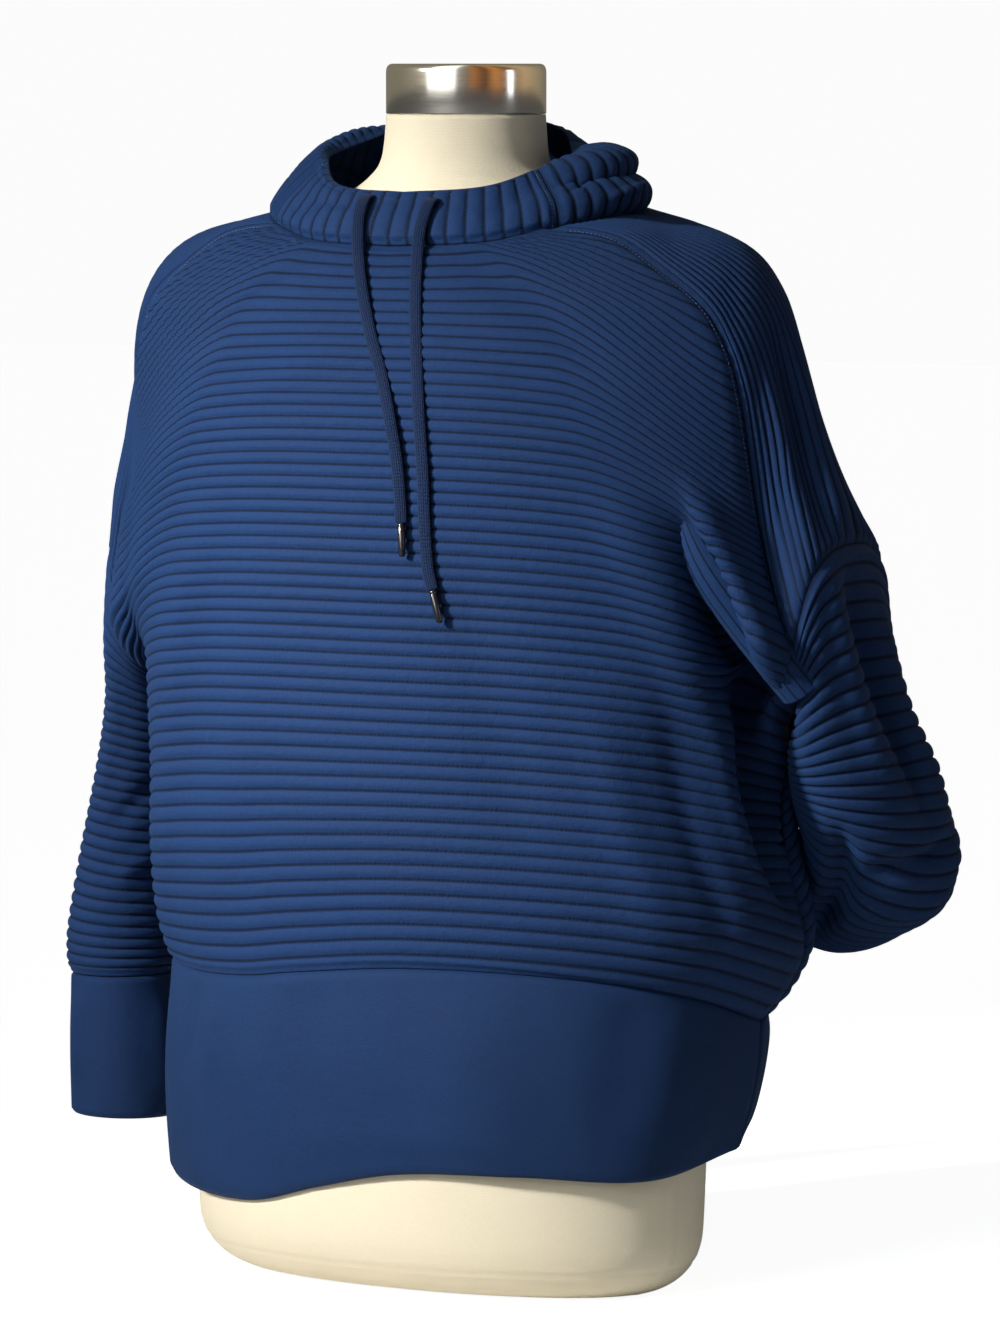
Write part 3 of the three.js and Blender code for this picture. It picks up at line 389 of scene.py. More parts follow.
FRONT_FOLDS = [
    (-0.42, 0.34, -0.68, 1.02, 0.08, 7), (-0.8, 0.3, -0.86, 0.8, 0.06, -7), (0.6, 0.3, 0.72, 0.62, 0.09, 9),
    (0.75, 0.33, 0.86, 0.62, 0.06, -30), (0.83, 0.27, 0.96, 0.47, 0.05, 16), (0.35, 0.02, 0.62, 0.16, 0.1, -4),
    (-0.4, 0.03, -0.6, 0.14, 0.1, -3),
]
BACK_FOLDS = [
    (0.72, 0.3, 0.86, 0.6, 0.08, -14), (-0.72, 0.3, -0.86, 0.6, 0.08, -12), (0.25, 0.25, 0.42, 1.02, 0.09, 7),
    (-0.22, 0.3, -0.4, 1.02, 0.1, 6),
]


def smooth(a, b, x):
    t = np.clip((x - a) / (b - a), 0, 1)
    return t * t * (3 - 2 * t)


def neck_seam(degrees):
    angle = np.radians(degrees)
    around = np.abs(np.where(degrees > 180, degrees - 360, degrees))
    height = along(NECK_SEAM, around)[..., 0]
    return np.stack([-4 + 134 * np.sin(angle), -10 - 88 * np.cos(angle), height], -1)


def arm_seam(angle, side):
    """The ring where the upper sleeve meets the lower one, on the wearer's left."""
    c, s = np.cos(angle), np.sin(angle)
    full = np.where(s > 0, np.where(c > 0, 0.65 if side > 0 else 0.95, 1), 0.9)
    c, s = np.sign(c) * abs(c) ** full, np.sign(s) * abs(s) ** full
    return np.stack([274 + 9 * side + 14 * s, 18 - 60 * c, 470 + 55 * s], -1)


def raglan(side, front):
    end = arm_seam(RAGLAN_END_ANGLE if front else math.pi - RAGLAN_END_ANGLE, side)
    return [*(RAGLAN_FRONT if front else RAGLAN_BACK), (RAGLAN_END, *end)]


def side_seam(side):
    return [(ARMPIT, *arm_seam(-math.pi / 2, side)), *(SIDE_LEFT if side > 0 else SIDE_RIGHT)]


def panel_edge(share, side, front):
    turned = mix(RAGLAN_END_ANGLE, -math.pi / 2, np.clip((share - RAGLAN_END) / (ARMPIT - RAGLAN_END), 0, 1))
    armhole = arm_seam(turned if front else math.pi - turned, side)
    above = along(raglan(side, front), share)
    below = along(side_seam(side), share)
    at = share[..., None]
    return np.where(at < RAGLAN_END, above, np.where(at < ARMPIT, armhole, below)) * (side, 1, 1)


def calm_edge(share, side, front):
    """The same edge without the step round the arm seam."""
    upper = [row for row in (RAGLAN_FRONT if front else RAGLAN_BACK) if row[0] < 0.3]
    lower = [row for row in side_seam(side) if row[0] > 0.65]
    return along(upper + lower, share) * (side, 1, 1)


def fold_rise(folds, place, share):
    rise = 0
    for place0, share0, place1, share1, width, height in folds:
        t = (share - share0) / (share1 - share0)
        ends = smooth(-0.12, 0.3, t) * (1 - smooth(0.75, 1.12, t))
        rise = rise + height * ends * np.exp(-(((place - mix(place0, place1, t)) / width) ** 2))
    return rise


def hung_panel(place, share, front):
    left = (place >= 0)[..., None]
    edge = np.where(left, panel_edge(share, 1, front), panel_edge(share, -1, front))
    calm = np.where(left, calm_edge(share, 1, front), calm_edge(share, -1, front))
    y, z, full, turn = np.moveaxis(along(FRONT_MIDDLE if front else BACK_MIDDLE, share), -1, 0)
    off = abs(place)
    across = mix(off, np.sin(np.pi / 2 * off), turn)
    depth = np.maximum(0, 1 - across**2) ** (1 / full)
    fold = fold_rise(FRONT_FOLDS if front else BACK_FOLDS, place, share) * (1 - off**12)
    hung = np.stack([
        calm[..., 0] * across,
        mix(calm[..., 1], y, depth) + (-fold if front else fold),
        mix(z, calm[..., 2], off**2.8),
    ], -1)
    return hung + (edge - calm) * smooth(0.62, 1, off)[..., None]


def front_panel(place, share):
    shift = neck_seam(place * NECK_CORNER) - hung_panel(place, share * 0, True)
    p = hung_panel(place, share, True) + shift * (1 - smooth(0, 0.12, share))[..., None]
    p[..., 2] += along(BAND_LINE, place)[..., 0] * smooth(0.6, 1, share)
    return p


def back_panel(place, share):
    shift = neck_seam(180 - place * (180 - NECK_BACK_CORNER)) - hung_panel(place, share * 0, False)
    return hung_panel(place, share, False) + shift * (1 - smooth(0, 0.12, share))[..., None]


def creased(lines, u, v, width, length, turns=(0,)):
    """Soft creases and ridges: ends in places of the cloth, half width and height in millimetres.
    On a tube they are read a turn to either side too."""
    rise = np.zeros_like(u)
    for u0, v0, u1, v1, half, height in lines:
        for shift in turns:
            a, b = (u1 - u0) * width / 2, (v1 - v0) * length
            x, y = (u + shift - u0) * width / 2, (v - v0) * length
            t = (x * a + y * b) / (a * a + b * b)
            off = abs(x * b - y * a) / math.hypot(a, b)
            rise += height * np.exp(-((off / half) ** 2)) * smooth(-0.1, 0.3, t) * (1 - smooth(0.7, 1.1, t))
    return rise


def cut_of(surface):
    """Width, length and area of the flat cut, in millimetres, read off the hung piece."""
    u, v = np.meshgrid(np.linspace(-1, 1, 81), np.linspace(0, 1, 81))
    p = surface(u, v)
    across, down = np.diff(p, axis=1), np.diff(p, axis=0)
    area = np.linalg.norm(np.cross(across[:-1], down[:, :-1]), axis=-1).sum()
    return np.linalg.norm(across, axis=-1).sum(1).max(), np.linalg.norm(down, axis=-1).sum(0).max(), area


def cloth(name, node, surface, across, down, flip, ribs=None, creases=(), tube=False, wall=WALL,
          edge=0.8, dip=0, closer=0):
    """One sewn piece. The wall grows outwards from the surface and rounds off to the seams round it;
    ribs is (count, True where they run across), dip how many ribs the sides reach over the middle, and
    closer how much closer they lie at the top."""
    width, length, area = cut_of(surface)

    def put(u, v, outer):
        step = 0.003
        u0, u1 = (u - step, u + step) if tube else (np.maximum(u - step, -1), np.minimum(u + step, 1))
        v0, v1 = np.maximum(v - step, 0), np.minimum(v + step, 1)
        across_way = (surface(u1, v) - surface(u0, v)) / (u1 - u0)[:, None]
        down_way = (surface(u, v1) - surface(u, v0)) / (v1 - v0)[:, None]
        normal = unit(np.cross(across_way, down_way)) * flip
        near = np.minimum(v, 1 - v) * np.linalg.norm(down_way, axis=-1)
        if not tube:
            near = np.minimum(near, (1 - abs(u)) * np.linalg.norm(across_way, axis=-1))
        round_off = np.sqrt(np.maximum(0, 1 - (1 - np.clip(near / 3.2, 0, 1)) ** 2))
        thick = mix(edge, wall, round_off)
        phase = np.zeros_like(u)
        if ribs:
            count, level = ribs
            phase = count * (v + closer * v * (1 - v) if level else (u + 1) / 2)
            phase = phase - dip * (1 - smooth(0, 0.55, v)) * smooth(0.5, 1.05, abs(u))
            thick = thick + RIB_RISE * abs(np.sin(np.pi * phase)) ** 0.55 * smooth(2.5, 7, near)
        lift = creased(creases, u, v, width, length, (-2, 0, 2) if tube else (0,)) * smooth(0, 22, near)
        place = surface(u, v) + normal * (lift + np.where(outer, thick, 0))[:, None]
        run = (u + 1) / 2 * width if ribs and ribs[1] else v * length
        uv = np.column_stack([(u + 1) / 2 * width, v * length]) / 1000
        return place / 1000, uv, {"rib": phase, "run": run / 1000, "border": near / 1000}

    made = shaped(name, across, down, put, tube)
    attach(made, "root")
    if node:
        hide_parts(node)
    return made


# The quilt: every groove is pulled in by a row of stitches that match the cloth, and puckers a little; the grooves
# are also painted darker, as painted shade.
quilt_finish, tree, shader, knit, bump = knitted(
    "quilted_knit", (0.0115, 0.038, 0.125, 1),
    {"Sheen Weight": 0.06, "Sheen Roughness": 0.45, "Sheen Tint": (0.35, 0.6, 1, 1), "Specular IOR Level": 0.12},
)
phase = add_node(tree, "ShaderNodeAttribute", attribute_name="rib").outputs["Fac"]
run = add_node(tree, "ShaderNodeAttribute", attribute_name="run").outputs["Fac"]
crest = add_node(tree, "ShaderNodeMath", {0: phase, 1: 0.5}, operation="PINGPONG").outputs[0]
groove = add_node(tree, "ShaderNodeMapRange", {"Value": crest, "From Min": 0.03, "From Max": 0.17,
                                               "To Min": 1, "To Max": 0}, interpolation_type="SMOOTHSTEP").outputs[0]
stitch = add_node(tree, "ShaderNodeMath", {0: run, 1: 0.0016}, operation="PINGPONG").outputs[0]
stitch = add_node(tree, "ShaderNodeMapRange", {"Value": stitch, "From Min": 0.0002, "From Max": 0.0005}).outputs[0]
threads = add_node(tree, "ShaderNodeMath", {0: stitch, 1: groove}, operation="MULTIPLY").outputs[0]
# Painted shade: the base colour is darkened down to 0.3 in the grooves between the ribs.
painted_groove_shade = add_node(tree, "ShaderNodeMapRange", {"Value": groove, "To Min": 1, "To Max": 0.3}).outputs[0]
painted_shade_colour = add_node(tree, "ShaderNodeHueSaturation", {"Value": painted_groove_shade, "Color": knit.outputs["Colour"]})
tree.links.new(painted_shade_colour.outputs[0], shader.inputs["Base Color"])
pucker = add_node(tree, "ShaderNodeTexNoise", {"Scale": 150, "Detail": 2,
                                               "Vector": add_node(tree, "ShaderNodeTexCoord").outputs["Object"]})
raised = add_node(tree, "ShaderNodeMath", {0: threads, 1: 0.5, 2: pucker.outputs[0]}, operation="MULTIPLY_ADD")
puckered = add_node(tree, "ShaderNodeBump", {"Height": raised.outputs[0], "Distance": 0.0012, "Strength": 0.6,
                                             "Normal": bump.outputs[0]})
tree.links.new(puckered.outputs[0], shader.inputs["Normal"])

FRONT_CREASES = [
    (0.62, 0.52, 0.76, 0.98, 16, -4), (0.48, 0.60, 0.60, 0.96, 20, 4), (-0.20, 0.45, -0.36, 0.92, 26, 3),
    (0.10, 0.12, 0.42, 0.20, 16, 1.6), (-0.05, 0.14, -0.40, 0.21, 16, 1.4), (0.20, 0.40, 0.34, 0.88, 24, -3),
    (0.76, 0.39, 0.86, 0.62, 16, -24), (0.85, 0.56, 0.99, 0.86, 17, -22), (0.70, 0.52, 0.90, 0.86, 14, 5),
]
BACK_CREASES = [
    (0.05, 0.30, 0.12, 0.95, 26, 4), (-0.45, 0.35, -0.62, 0.95, 22, -4), (0.55, 0.45, 0.66, 0.95, 20, 4),
    (-0.05, 0.12, 0.30, 0.24, 18, 2.5), (0.05, 0.14, -0.34, 0.27, 18, 2.2),
]
front = cloth("front_cloth", "front_panel", front_panel, 96, 448, -1, (BODY_RIBS, True), FRONT_CREASES,
              dip=10, closer=0.17)
back = cloth("back_cloth", "back_panel", back_panel, 72, 448, 1, (BODY_RIBS, True), BACK_CREASES,
             dip=4, closer=0.1)
for made in (front, back):
    made.data.materials.append(quilt_finish)


# Upper sleeves: quilted along the arm instead of round it, sewn between the panels from the neck to a
# dropped seam halfway down the upper arm.
SHOULDER_LOW = [(0.44, 246, 7, 674, -34), (0.6, 260, 12, 622, -34), (0.8, 275, 15, 570, -20), (1, 290, 18, 525, 0)]
SHOULDER_LEFT = [
    (0, 130, -10, 746, 0), (0.09, 161, -6, 736, -8), (0.18, 196, -2, 727, -16), (0.26, 221, 0, 714, -24),
    (0.34, 236, 3, 697, -30), *SHOULDER_LOW,
]
SHOULDER_RIGHT = [
    (0, 130, -10, 746, 0), (0.09, 161, -6, 737, -8), (0.18, 197, -2, 732, -16), (0.26, 224, 0, 723, -24),
    (0.34, 239, 3, 704, -30), *SHOULDER_LOW,
]
SLEEVE_RIBS = 24


def hung_sleeve(place, share, side):
    front = along(raglan(side, True), share * RAGLAN_END)
    back = along(raglan(side, False), share * RAGLAN_END)
    top = along(SHOULDER_LEFT if side > 0 else SHOULDER_RIGHT, share)
    tuck = np.radians(top[..., 3])[..., None]
    middle = (front + back) / 2
    rise = (top[..., :3] - middle) / (1 + np.sin(tuck))
    centre = top[..., :3] - rise
    reach = (front - middle) / np.cos(tuck)
    angle = mix(-tuck, math.pi + tuck, (place[..., None] + 1) / 2)
    return centre + reach * np.cos(angle) + rise * np.sin(angle)


def upper_sleeve(side):
    def surface(place, share):
        half = (place + 1) / 2
        neck = neck_seam(mix(NECK_CORNER, NECK_BACK_CORNER, half) * side) * (side, 1, 1)
        arm = arm_seam(mix(RAGLAN_END_ANGLE, math.pi - RAGLAN_END_ANGLE, half), side)
        p = hung_sleeve(place, share, side)
        p = p + (neck - hung_sleeve(place, share * 0, side)) * (1 - smooth(0, 0.3, share))[..., None]
        p = p + (arm - hung_sleeve(place, share * 0 + 1, side)) * smooth(0.6, 1, share)[..., None]
        return p * (side, 1, 1)
    return surface


LEFT_UPPER_CREASES = [
    (-0.62, 0.42, -0.52, 1.0, 12, 5), (-0.34, 0.38, -0.28, 0.98, 13, -5), (-0.05, 0.45, -0.06, 1.0, 15, 4),
    (0.45, 0.40, 0.38, 0.95, 18, -4),
]
RIGHT_UPPER_CREASES = [
    (-0.55, 0.45, -0.42, 0.98, 15, 4), (-0.2, 0.5, -0.1, 0.95, 15, -4), (0.4, 0.42, 0.3, 0.95, 18, 4),
]
for side, name, creases in ((1, "left", LEFT_UPPER_CREASES), (-1, "right", RIGHT_UPPER_CREASES)):
    sleeve = cloth(f"{name}_upper_cloth", f"{name}_upper_sleeve", upper_sleeve(side), 192, 70, -side,
                   (SLEEVE_RIBS, False), creases)
    sleeve.data.materials.append(quilt_finish)


# Under the left arm the upper sleeve folds over the front panel; the fold ends at the arm seam.
UNDERARM_LINE = [
    (0, 216, -84, 556), (0.25, 232, -80, 522), (0.5, 251, -66, 488), (0.75, 270, -48, 455), (1, 286, -30, 427),
]


def underarm_fold(place, share):
    centre = along(UNDERARM_LINE, share)
    way = unit(along(UNDERARM_LINE, np.minimum(share + 0.02, 1)) - along(UNDERARM_LINE, np.maximum(share - 0.02, 0)))
    out = unit(np.array([0.62, -0.78, 0.05]) - way * (way @ np.array([0.62, -0.78, 0.05]))[..., None])
    grown = smooth(-0.25, 0.45, share)
    wide = (17 * grown * np.sin(place * np.pi / 2))[..., None]
    high = (20 * grown * np.cos(place * np.pi / 2) - 14)[..., None]
    return centre + np.cross(out, way) * wide + out * high


fold = cloth("left_underarm_cloth", None, underarm_fold, 60, 90, 1, (7, False))
fold.data.materials.append(quilt_finish)


# Lower sleeves: quilted rings again, wide and slightly gathered towards the cuff. The right one hangs,
# the left one is bent at the elbow and swings back.
LOWER_RIBS = 33
HANGING_SLEEVE = [
    (0, 265, 18, 470, 14, 0, 55, 0, -60, 0), (0.12, 273, 26, 438, 18, 0, 30, 0, -56, 0),
    (0.26, 278, 38, 398, 22, 0, 14, 0, -54, 0), (0.48, 288, 44, 340, 27, 0, 8, 0, -54, 0),
    (0.7, 300, 40, 276, 33, 0, 6, 0, -51, 0), (0.88, 306, 34, 222, 37, 0, 3, 0, -45, 0),
    (1, 306, 31, 192, 36, 0, 0, 0, -40, 0),
]
BENT_SLEEVE = [
    (0, 283, 18, 470, 14, 0, 55, 0, -60, 0), (0.13, 287, 24, 439, 14, 0, 29, 0, -56, 0),
    (0.26, 291, 32, 398, 21, 4, 14, -2, -54, 0), (0.4, 298, 44, 360, 32, 6, 0, -6, -51, 0),
    (0.53, 297, 58, 328, 34, 8, -17, -14, -48, 0), (0.66, 286, 76, 299, 25, 6, -33, -24, -42, 0),
    (0.78, 263, 93, 281, 9, 2, -36, -29, -34, 0), (0.89, 248, 106, 270, 2, 1, -34, -29, -30, 0),
    (1, 234, 117, 265, 0, 0, -32, -28, -29, 0),
]


def sleeve_ring(rows, angle, share, boxy):
    table = along(rows, share)
    full = 1 - 0.15 * boxy
    c, s = np.cos(angle), np.sin(angle)
    c, s = np.sign(c) * abs(c) ** full, np.sign(s) * abs(s) ** full
    return table[..., :3] + table[..., 6:] * c[..., None] + table[..., 3:6] * s[..., None]


def lower_sleeve(rows, side):
    def surface(place, share):
        angle = RAGLAN_END_ANGLE + math.pi * (place + 1)
        p = sleeve_ring(rows, angle, share, 1 - smooth(0, 0.3, share))
        shift = arm_seam(angle, side) - sleeve_ring(rows, angle, share * 0, share * 0 + 1)
        return (p + shift * (1 - smooth(0, 0.2, share))[..., None]) * (side, 1, 1)
    return surface


LEFT_LOWER_CREASES = [
    (-0.47, 0.02, -0.44, 0.46, 9, -11), (-0.62, 0.0, -0.60, 0.40, 13, 6), (-0.28, 0.04, -0.30, 0.50, 14, 5),
    (-0.74, 0.60, -0.25, 0.51, 8, -8), (-0.62, 0.68, -0.25, 0.62, 10, 4), (-0.86, 0.50, -0.64, 0.86, 12, -12),
    (0.2, 0.3, -0.2, 0.55, 12, -5), (0.1, 0.42, -0.35, 0.62, 12, 4), (0.72, 0.12, 0.66, 0.78, 34, 15),
]
RIGHT_LOWER_CREASES = [
    (-0.88, 0.06, -0.80, 0.70, 14, 5), (-0.62, 0.10, -0.55, 0.9, 16, -5), (-0.35, 0.2, -0.30, 0.95, 16, 4),
    (0.1, 0.15, 0.2, 0.8, 18, -4), (0.75, 0.45, 1.05, 0.60, 10, -3), (0.7, 0.62, 1.0, 0.74, 10, 3),
]
for side, name, rows, creases in ((1, "left", BENT_SLEEVE, LEFT_LOWER_CREASES),
                                  (-1, "right", HANGING_SLEEVE, RIGHT_LOWER_CREASES)):
    sleeve = cloth(f"{name}_lower_cloth", f"{name}_lower_sleeve", lower_sleeve(rows, side), 88, 264, -side,
                   (LOWER_RIBS, True), creases, tube=True)
    sleeve.data.materials.append(quilt_finish)


# Cuffs and hem band: smooth, dense double jersey, folded at the edge and sewn on with a turned seam.
HANGING_CUFF = [
    (0, 305, 31, 191.6, 36, 0, 0, 0, -40, 0), (0.4, 305, 31, 150, 38, 0, 0, 0, -40, 0),
    (1, 304, 30, 89, 37, 0, 1, 0, -40, 0),
]
BENT_CUFF = [
    (0, 233.9, 117.05, 265, 0, 0, -32, -28, -29, 0), (0.4, 197, 136, 262, 0, 0, -32, -20, -33, 0),
    (1, 136, 156, 258, 0, 0, -30, -12, -35, 0),
]
HEM_FRONT = [
    (-1, -216, 10, 84), (-0.8, -207, -58, 72), (-0.56, -162, -104, 62), (-0.34, -98, -128, 61),
    (-0.12, -36, -141, 77), (0.08, 30, -145, 91), (0.35, 116, -133, 94), (0.7, 190, -80, 90), (1, 207, 14, 101),
]
HEM_BACK = [
    (-1, -216, 10, 84), (-0.7, -190, 60, 84), (-0.3, -96, 94, 86), (0, 4, 101, 88), (0.3, 102, 96, 92),
    (0.7, 180, 58, 98), (1, 207, 14, 101),
]
PLAIN_WALL = 2.6


def cuff(rows, side):
    def surface(place, share):
        angle = RAGLAN_END_ANGLE + math.pi * (place + 1)
        return sleeve_ring(rows, angle, share, share * 0) * (side, 1, 1)
    return surface


def hem_band(front):
    def surface(place, share):
        top = (front_panel if front else back_panel)(place, share * 0 + 1)
        low = along(HEM_FRONT if front else HEM_BACK, place)
        out = np.stack([low[..., 0] / 220, low[..., 1] / 150, share * 0], -1)
        return top + (low - top) * share[..., None] + out * (5 * np.sin(math.pi * share))[..., None]
    return surface


plain_finish, tree, shader, knit, bump = knitted(
    "plain_knit", (0.0110, 0.034, 0.108, 1),
    {"Sheen Weight": 0.07, "Sheen Roughness": 0.5, "Sheen Tint": (0.35, 0.6, 1, 1), "Specular IOR Level": 0.1},
    loop=0.0011, heather=0.6, relief=0.00016,
)
coords = add_node(tree, "ShaderNodeTexCoord").outputs
rumple = add_node(tree, "ShaderNodeTexNoise", {"Scale": 42, "Detail": 3, "Vector": coords["Object"]}).outputs[0]
rumpled = add_node(tree, "ShaderNodeBump", {"Height": rumple, "Distance": 0.0016, "Strength": 0.5,
                                            "Normal": bump.outputs[0]})
tree.links.new(rumpled.outputs[0], shader.inputs["Normal"])

HEM_FRONT_CREASES = [
    (-0.86, -0.1, -0.84, 1.1, 9, 4), (-0.74, -0.1, -0.70, 0.95, 9, -2.5), (-0.47, 0.0, -0.54, 0.45, 9, -3),
    (-0.40, 0.05, -0.46, 0.6, 12, 2.5), (-0.1, -0.1, -0.16, 0.8, 26, -2), (0.25, 0.1, 0.22, 1.0, 30, 2.5),
    (0.62, -0.05, 0.58, 0.8, 22, -2.5), (0.85, 0.1, 0.83, 1.0, 16, 2.5), (-0.2, 0.75, 0.4, 0.9, 14, 1.2),
]
HEM_BACK_CREASES = [
    (-0.7, 0, -0.66, 1.05, 16, 3), (-0.3, 0, -0.34, 0.9, 22, -3), (0.12, 0.05, 0.1, 1.05, 24, 3),
    (0.5, 0, 0.54, 0.9, 20, -3), (0.82, 0, 0.8, 1, 14, 3),
]
CUFF_CREASES = [
    (-0.8, 0.02, -0.72, 0.8, 9, 3), (-0.5, 0.05, -0.46, 0.7, 10, -3), (-0.1, 0.1, -0.16, 0.9, 12, 3),
    (0.3, 0.05, 0.36, 0.8, 12, -3), (0.7, 0.1, 0.64, 0.9, 11, 3),
]
for name, node, surface, across, down, flip, creases, tube, rests in (
    ("band_front_cloth", "hem_band_front", hem_band(True), 180, 36, -1, HEM_FRONT_CREASES, False, "front_cloth"),
    ("band_back_cloth", "hem_band_back", hem_band(False), 150, 36, 1, HEM_BACK_CREASES, False, "back_cloth"),
    ("left_cuff_cloth", "left_cuff", cuff(BENT_CUFF, 1), 110, 44, -1, CUFF_CREASES, True, "left_lower_cloth"),
    ("right_cuff_cloth", "right_cuff", cuff(HANGING_CUFF, -1), 110, 44, 1, CUFF_CREASES, True, "right_lower_cloth"),
):
    made = cloth(name, node, surface, across, down, flip, None, creases, tube, PLAIN_WALL)
    made.data.materials.append(plain_finish)


# Collar and hood: the front is a standing funnel with upright ribs and a drawcord casing along its edge;
# behind the side seams the same cloth goes on as the hood, which is laid back on the shoulders.
COLLAR_SIDE = 55
HOOD_LEFT = [
    (0, 0, 731, -2, 736, -4, 741, -7, 746, -10, 750, -13, 754, -15, 758, -18, 761, -20, 762),
    (30, 0, 734, -1, 739, -3, 744, -6, 749, -10, 753, -13, 758, -16, 762, -19, 765, -21, 766),
    (55, 2, 744, 2, 749, 0, 755, -5, 760, -11, 764, -17, 769, -23, 774, -28, 777, -32, 777),
    (80, 2, 751, 6, 756, 7, 763, -1, 769, -14, 770, -5, 775, -7, 784, -21, 788, -37, 782),
    (100, 3, 752, 9, 757, 10, 765, 2, 771, -13, 772, -1, 778, -3, 787, -19, 791, -38, 784),
    (125, 3, 757, 5, 759, 4, 764, -1, 768, -9, 771, -3, 777, -1, 784, -16, 792, -37, 789),
    (140, 5, 760, 12, 762, 16, 757, 19, 750, 22, 744, 20, 753, 9, 772, -5, 786, -28, 790),
    (155, 8, 762, 24, 755, 42, 724, 56, 696, 64, 686, 62, 702, 44, 742, 22, 776, -14, 803),
    (180, 10, 763, 26, 752, 44, 716, 58, 678, 69, 660, 79, 670, 74, 716, 52, 774, 8, 814),
]
HOOD_RIGHT = [
    *HOOD_LEFT[:2],
    (60, 2, 746, 0, 750, -3, 755, -8, 761, -14, 767, -20, 773, -26, 778, -31, 783, -35, 783),
    (90, 1, 752, 1, 757, -2, 763, -6, 769, -11, 776, -17, 782, -24, 788, -31, 792, -38, 788),
    (120, 3, 757, 6, 762, 6, 768, 2, 776, -4, 783, -11, 791, -19, 798, -28, 802, -37, 797),
    (140, 5, 760, 18, 762, 28, 758, 35, 750, 40, 746, 38, 758, 24, 782, 2, 800, -26, 806),
    (155, 8, 762, 27, 755, 48, 724, 62, 696, 71, 686, 75, 702, 62, 742, 32, 782, -12, 811),
    HOOD_LEFT[8],
]


def hood(degrees, share):
    around = abs(degrees)
    rows = np.where((degrees < 0)[..., None], along(HOOD_RIGHT, around), along(HOOD_LEFT, around))
    seam = neck_seam(degrees)
    first = np.stack([seam[..., 0] * 0, seam[..., 2] + 0.4], -1)[..., None, :]
    section = np.concatenate([first, rows.reshape(*rows.shape[:-1], 9, 2)], -2)
    out, z = np.moveaxis(follow(np.arange(10) / 9, section, share), -1, 0)
    angle = np.radians(degrees)
    return np.stack([seam[..., 0] + out * np.sin(angle), seam[..., 1] - out * np.cos(angle), z], -1)


def hood_part(start, end):
    return lambda place, share: hood(mix(start, end, (place + 1) / 2), share)


COLLAR_CREASES = [
    (-1.1, 0.80, 1.1, 0.80, 1.6, -1.5), (0.55, 0.35, 0.95, 0.62, 7, -2), (-0.9, 0.3, -0.5, 0.55, 8, -2),
]
HOOD_LEFT_CREASES = [
    (-1.1, 0.86, -0.2, 0.90, 1.6, -1.4), (-0.92, 0.40, -0.55, 0.62, 6, -3), (-0.7, 0.30, -0.3, 0.36, 7, 3),
    (-0.1, 0.45, 0.5, 0.40, 10, 3), (0.2, 0.65, 0.9, 0.6, 9, -3),
]
HOOD_RIGHT_CREASES = [
    (0.2, 0.90, 1.1, 0.86, 1.6, -1.4), (0.9, 0.42, 0.5, 0.60, 7, -2), (-0.5, 0.45, 0.1, 0.40, 10, 3),
    (-0.9, 0.6, -0.2, 0.65, 9, -3),
]
for name, node, start, end, across, ribs, creases in (
    ("collar_cloth", "collar_front", -COLLAR_SIDE, COLLAR_SIDE, 180, 18, COLLAR_CREASES),
    ("hood_left_cloth", "hood_left", COLLAR_SIDE, 180, 180, 20, HOOD_LEFT_CREASES),
    ("hood_right_cloth", "hood_right", -180, -COLLAR_SIDE, 180, 20, HOOD_RIGHT_CREASES),
):
    made = cloth(name, node, hood_part(start, end), across, 72, 1, (ribs, False), creases)
    made.data.materials.append(quilt_finish)


# Topstitching: one row of paler thread beside the neck, raglan and collar seams and along the casing.
THREAD_PITCH = 3.1
thread_finish, tree, shader = finish_of("topstitch_thread", {"Specular IOR Level": 0.3, "Roughness": 0.5})
ply = add_node(tree, "ShaderNodeTexNoise", {"Scale": 1400, "Detail": 1,
                                            "Vector": add_node(tree, "ShaderNodeTexCoord").outputs["Object"]})
twist = add_node(tree, "ShaderNodeValToRGB", {0: ply.outputs[0]})
twist.color_ramp.elements[0].color = (0.035, 0.075, 0.19, 1)
twist.color_ramp.elements[1].color = (0.12, 0.19, 0.36, 1)
tree.links.new(twist.outputs[0], shader.inputs["Base Color"])


def topstitch(name, surface, flip, line, wall=WALL):
    """A row of stitches on a piece: line(t) gives the place and share it runs through."""
    u, v = line(np.linspace(0, 1, 900))
    step = 0.003
    across_way = surface(np.minimum(u + step, 1), v) - surface(np.maximum(u - step, -1), v)
    down_way = surface(u, np.minimum(v + step, 1)) - surface(u, np.maximum(v - step, 0))
    normal = unit(np.cross(across_way, down_way)) * flip
    points = surface(u, v) + normal * (wall + 0.25)
    run = np.append(0, np.cumsum(np.linalg.norm(np.diff(points, axis=0), axis=1)))
    at = np.arange(THREAD_PITCH / 2, run[-1], THREAD_PITCH)
    middle = np.column_stack([np.interp(at, run, points[:, k]) for k in range(3)])
    ahead = np.column_stack([np.interp(at + 0.5, run, points[:, k]) for k in range(3)])
    bm = bmesh.new()
    for here, there in zip(middle, ahead):
        turn = Vector(there - here).to_track_quat("X", "Z").to_matrix().to_4x4()
        size = Matrix.Diagonal((THREAD_PITCH * 0.42, 0.34, 0.34, 1))
        matrix = Matrix.Scale(0.001, 4) @ Matrix.Translation(here) @ turn @ size
        bmesh.ops.create_icosphere(bm, subdivisions=1, radius=1, matrix=matrix)
    for face in bm.faces:
        face.smooth = True
    mesh = bpy.data.meshes.new(name)
    bm.to_mesh(mesh)
    bm.free()
    row = bpy.data.objects.new(name, mesh)
    bpy.context.collection.objects.link(row)
    mesh.materials.append(thread_finish)
    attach(row, "root")


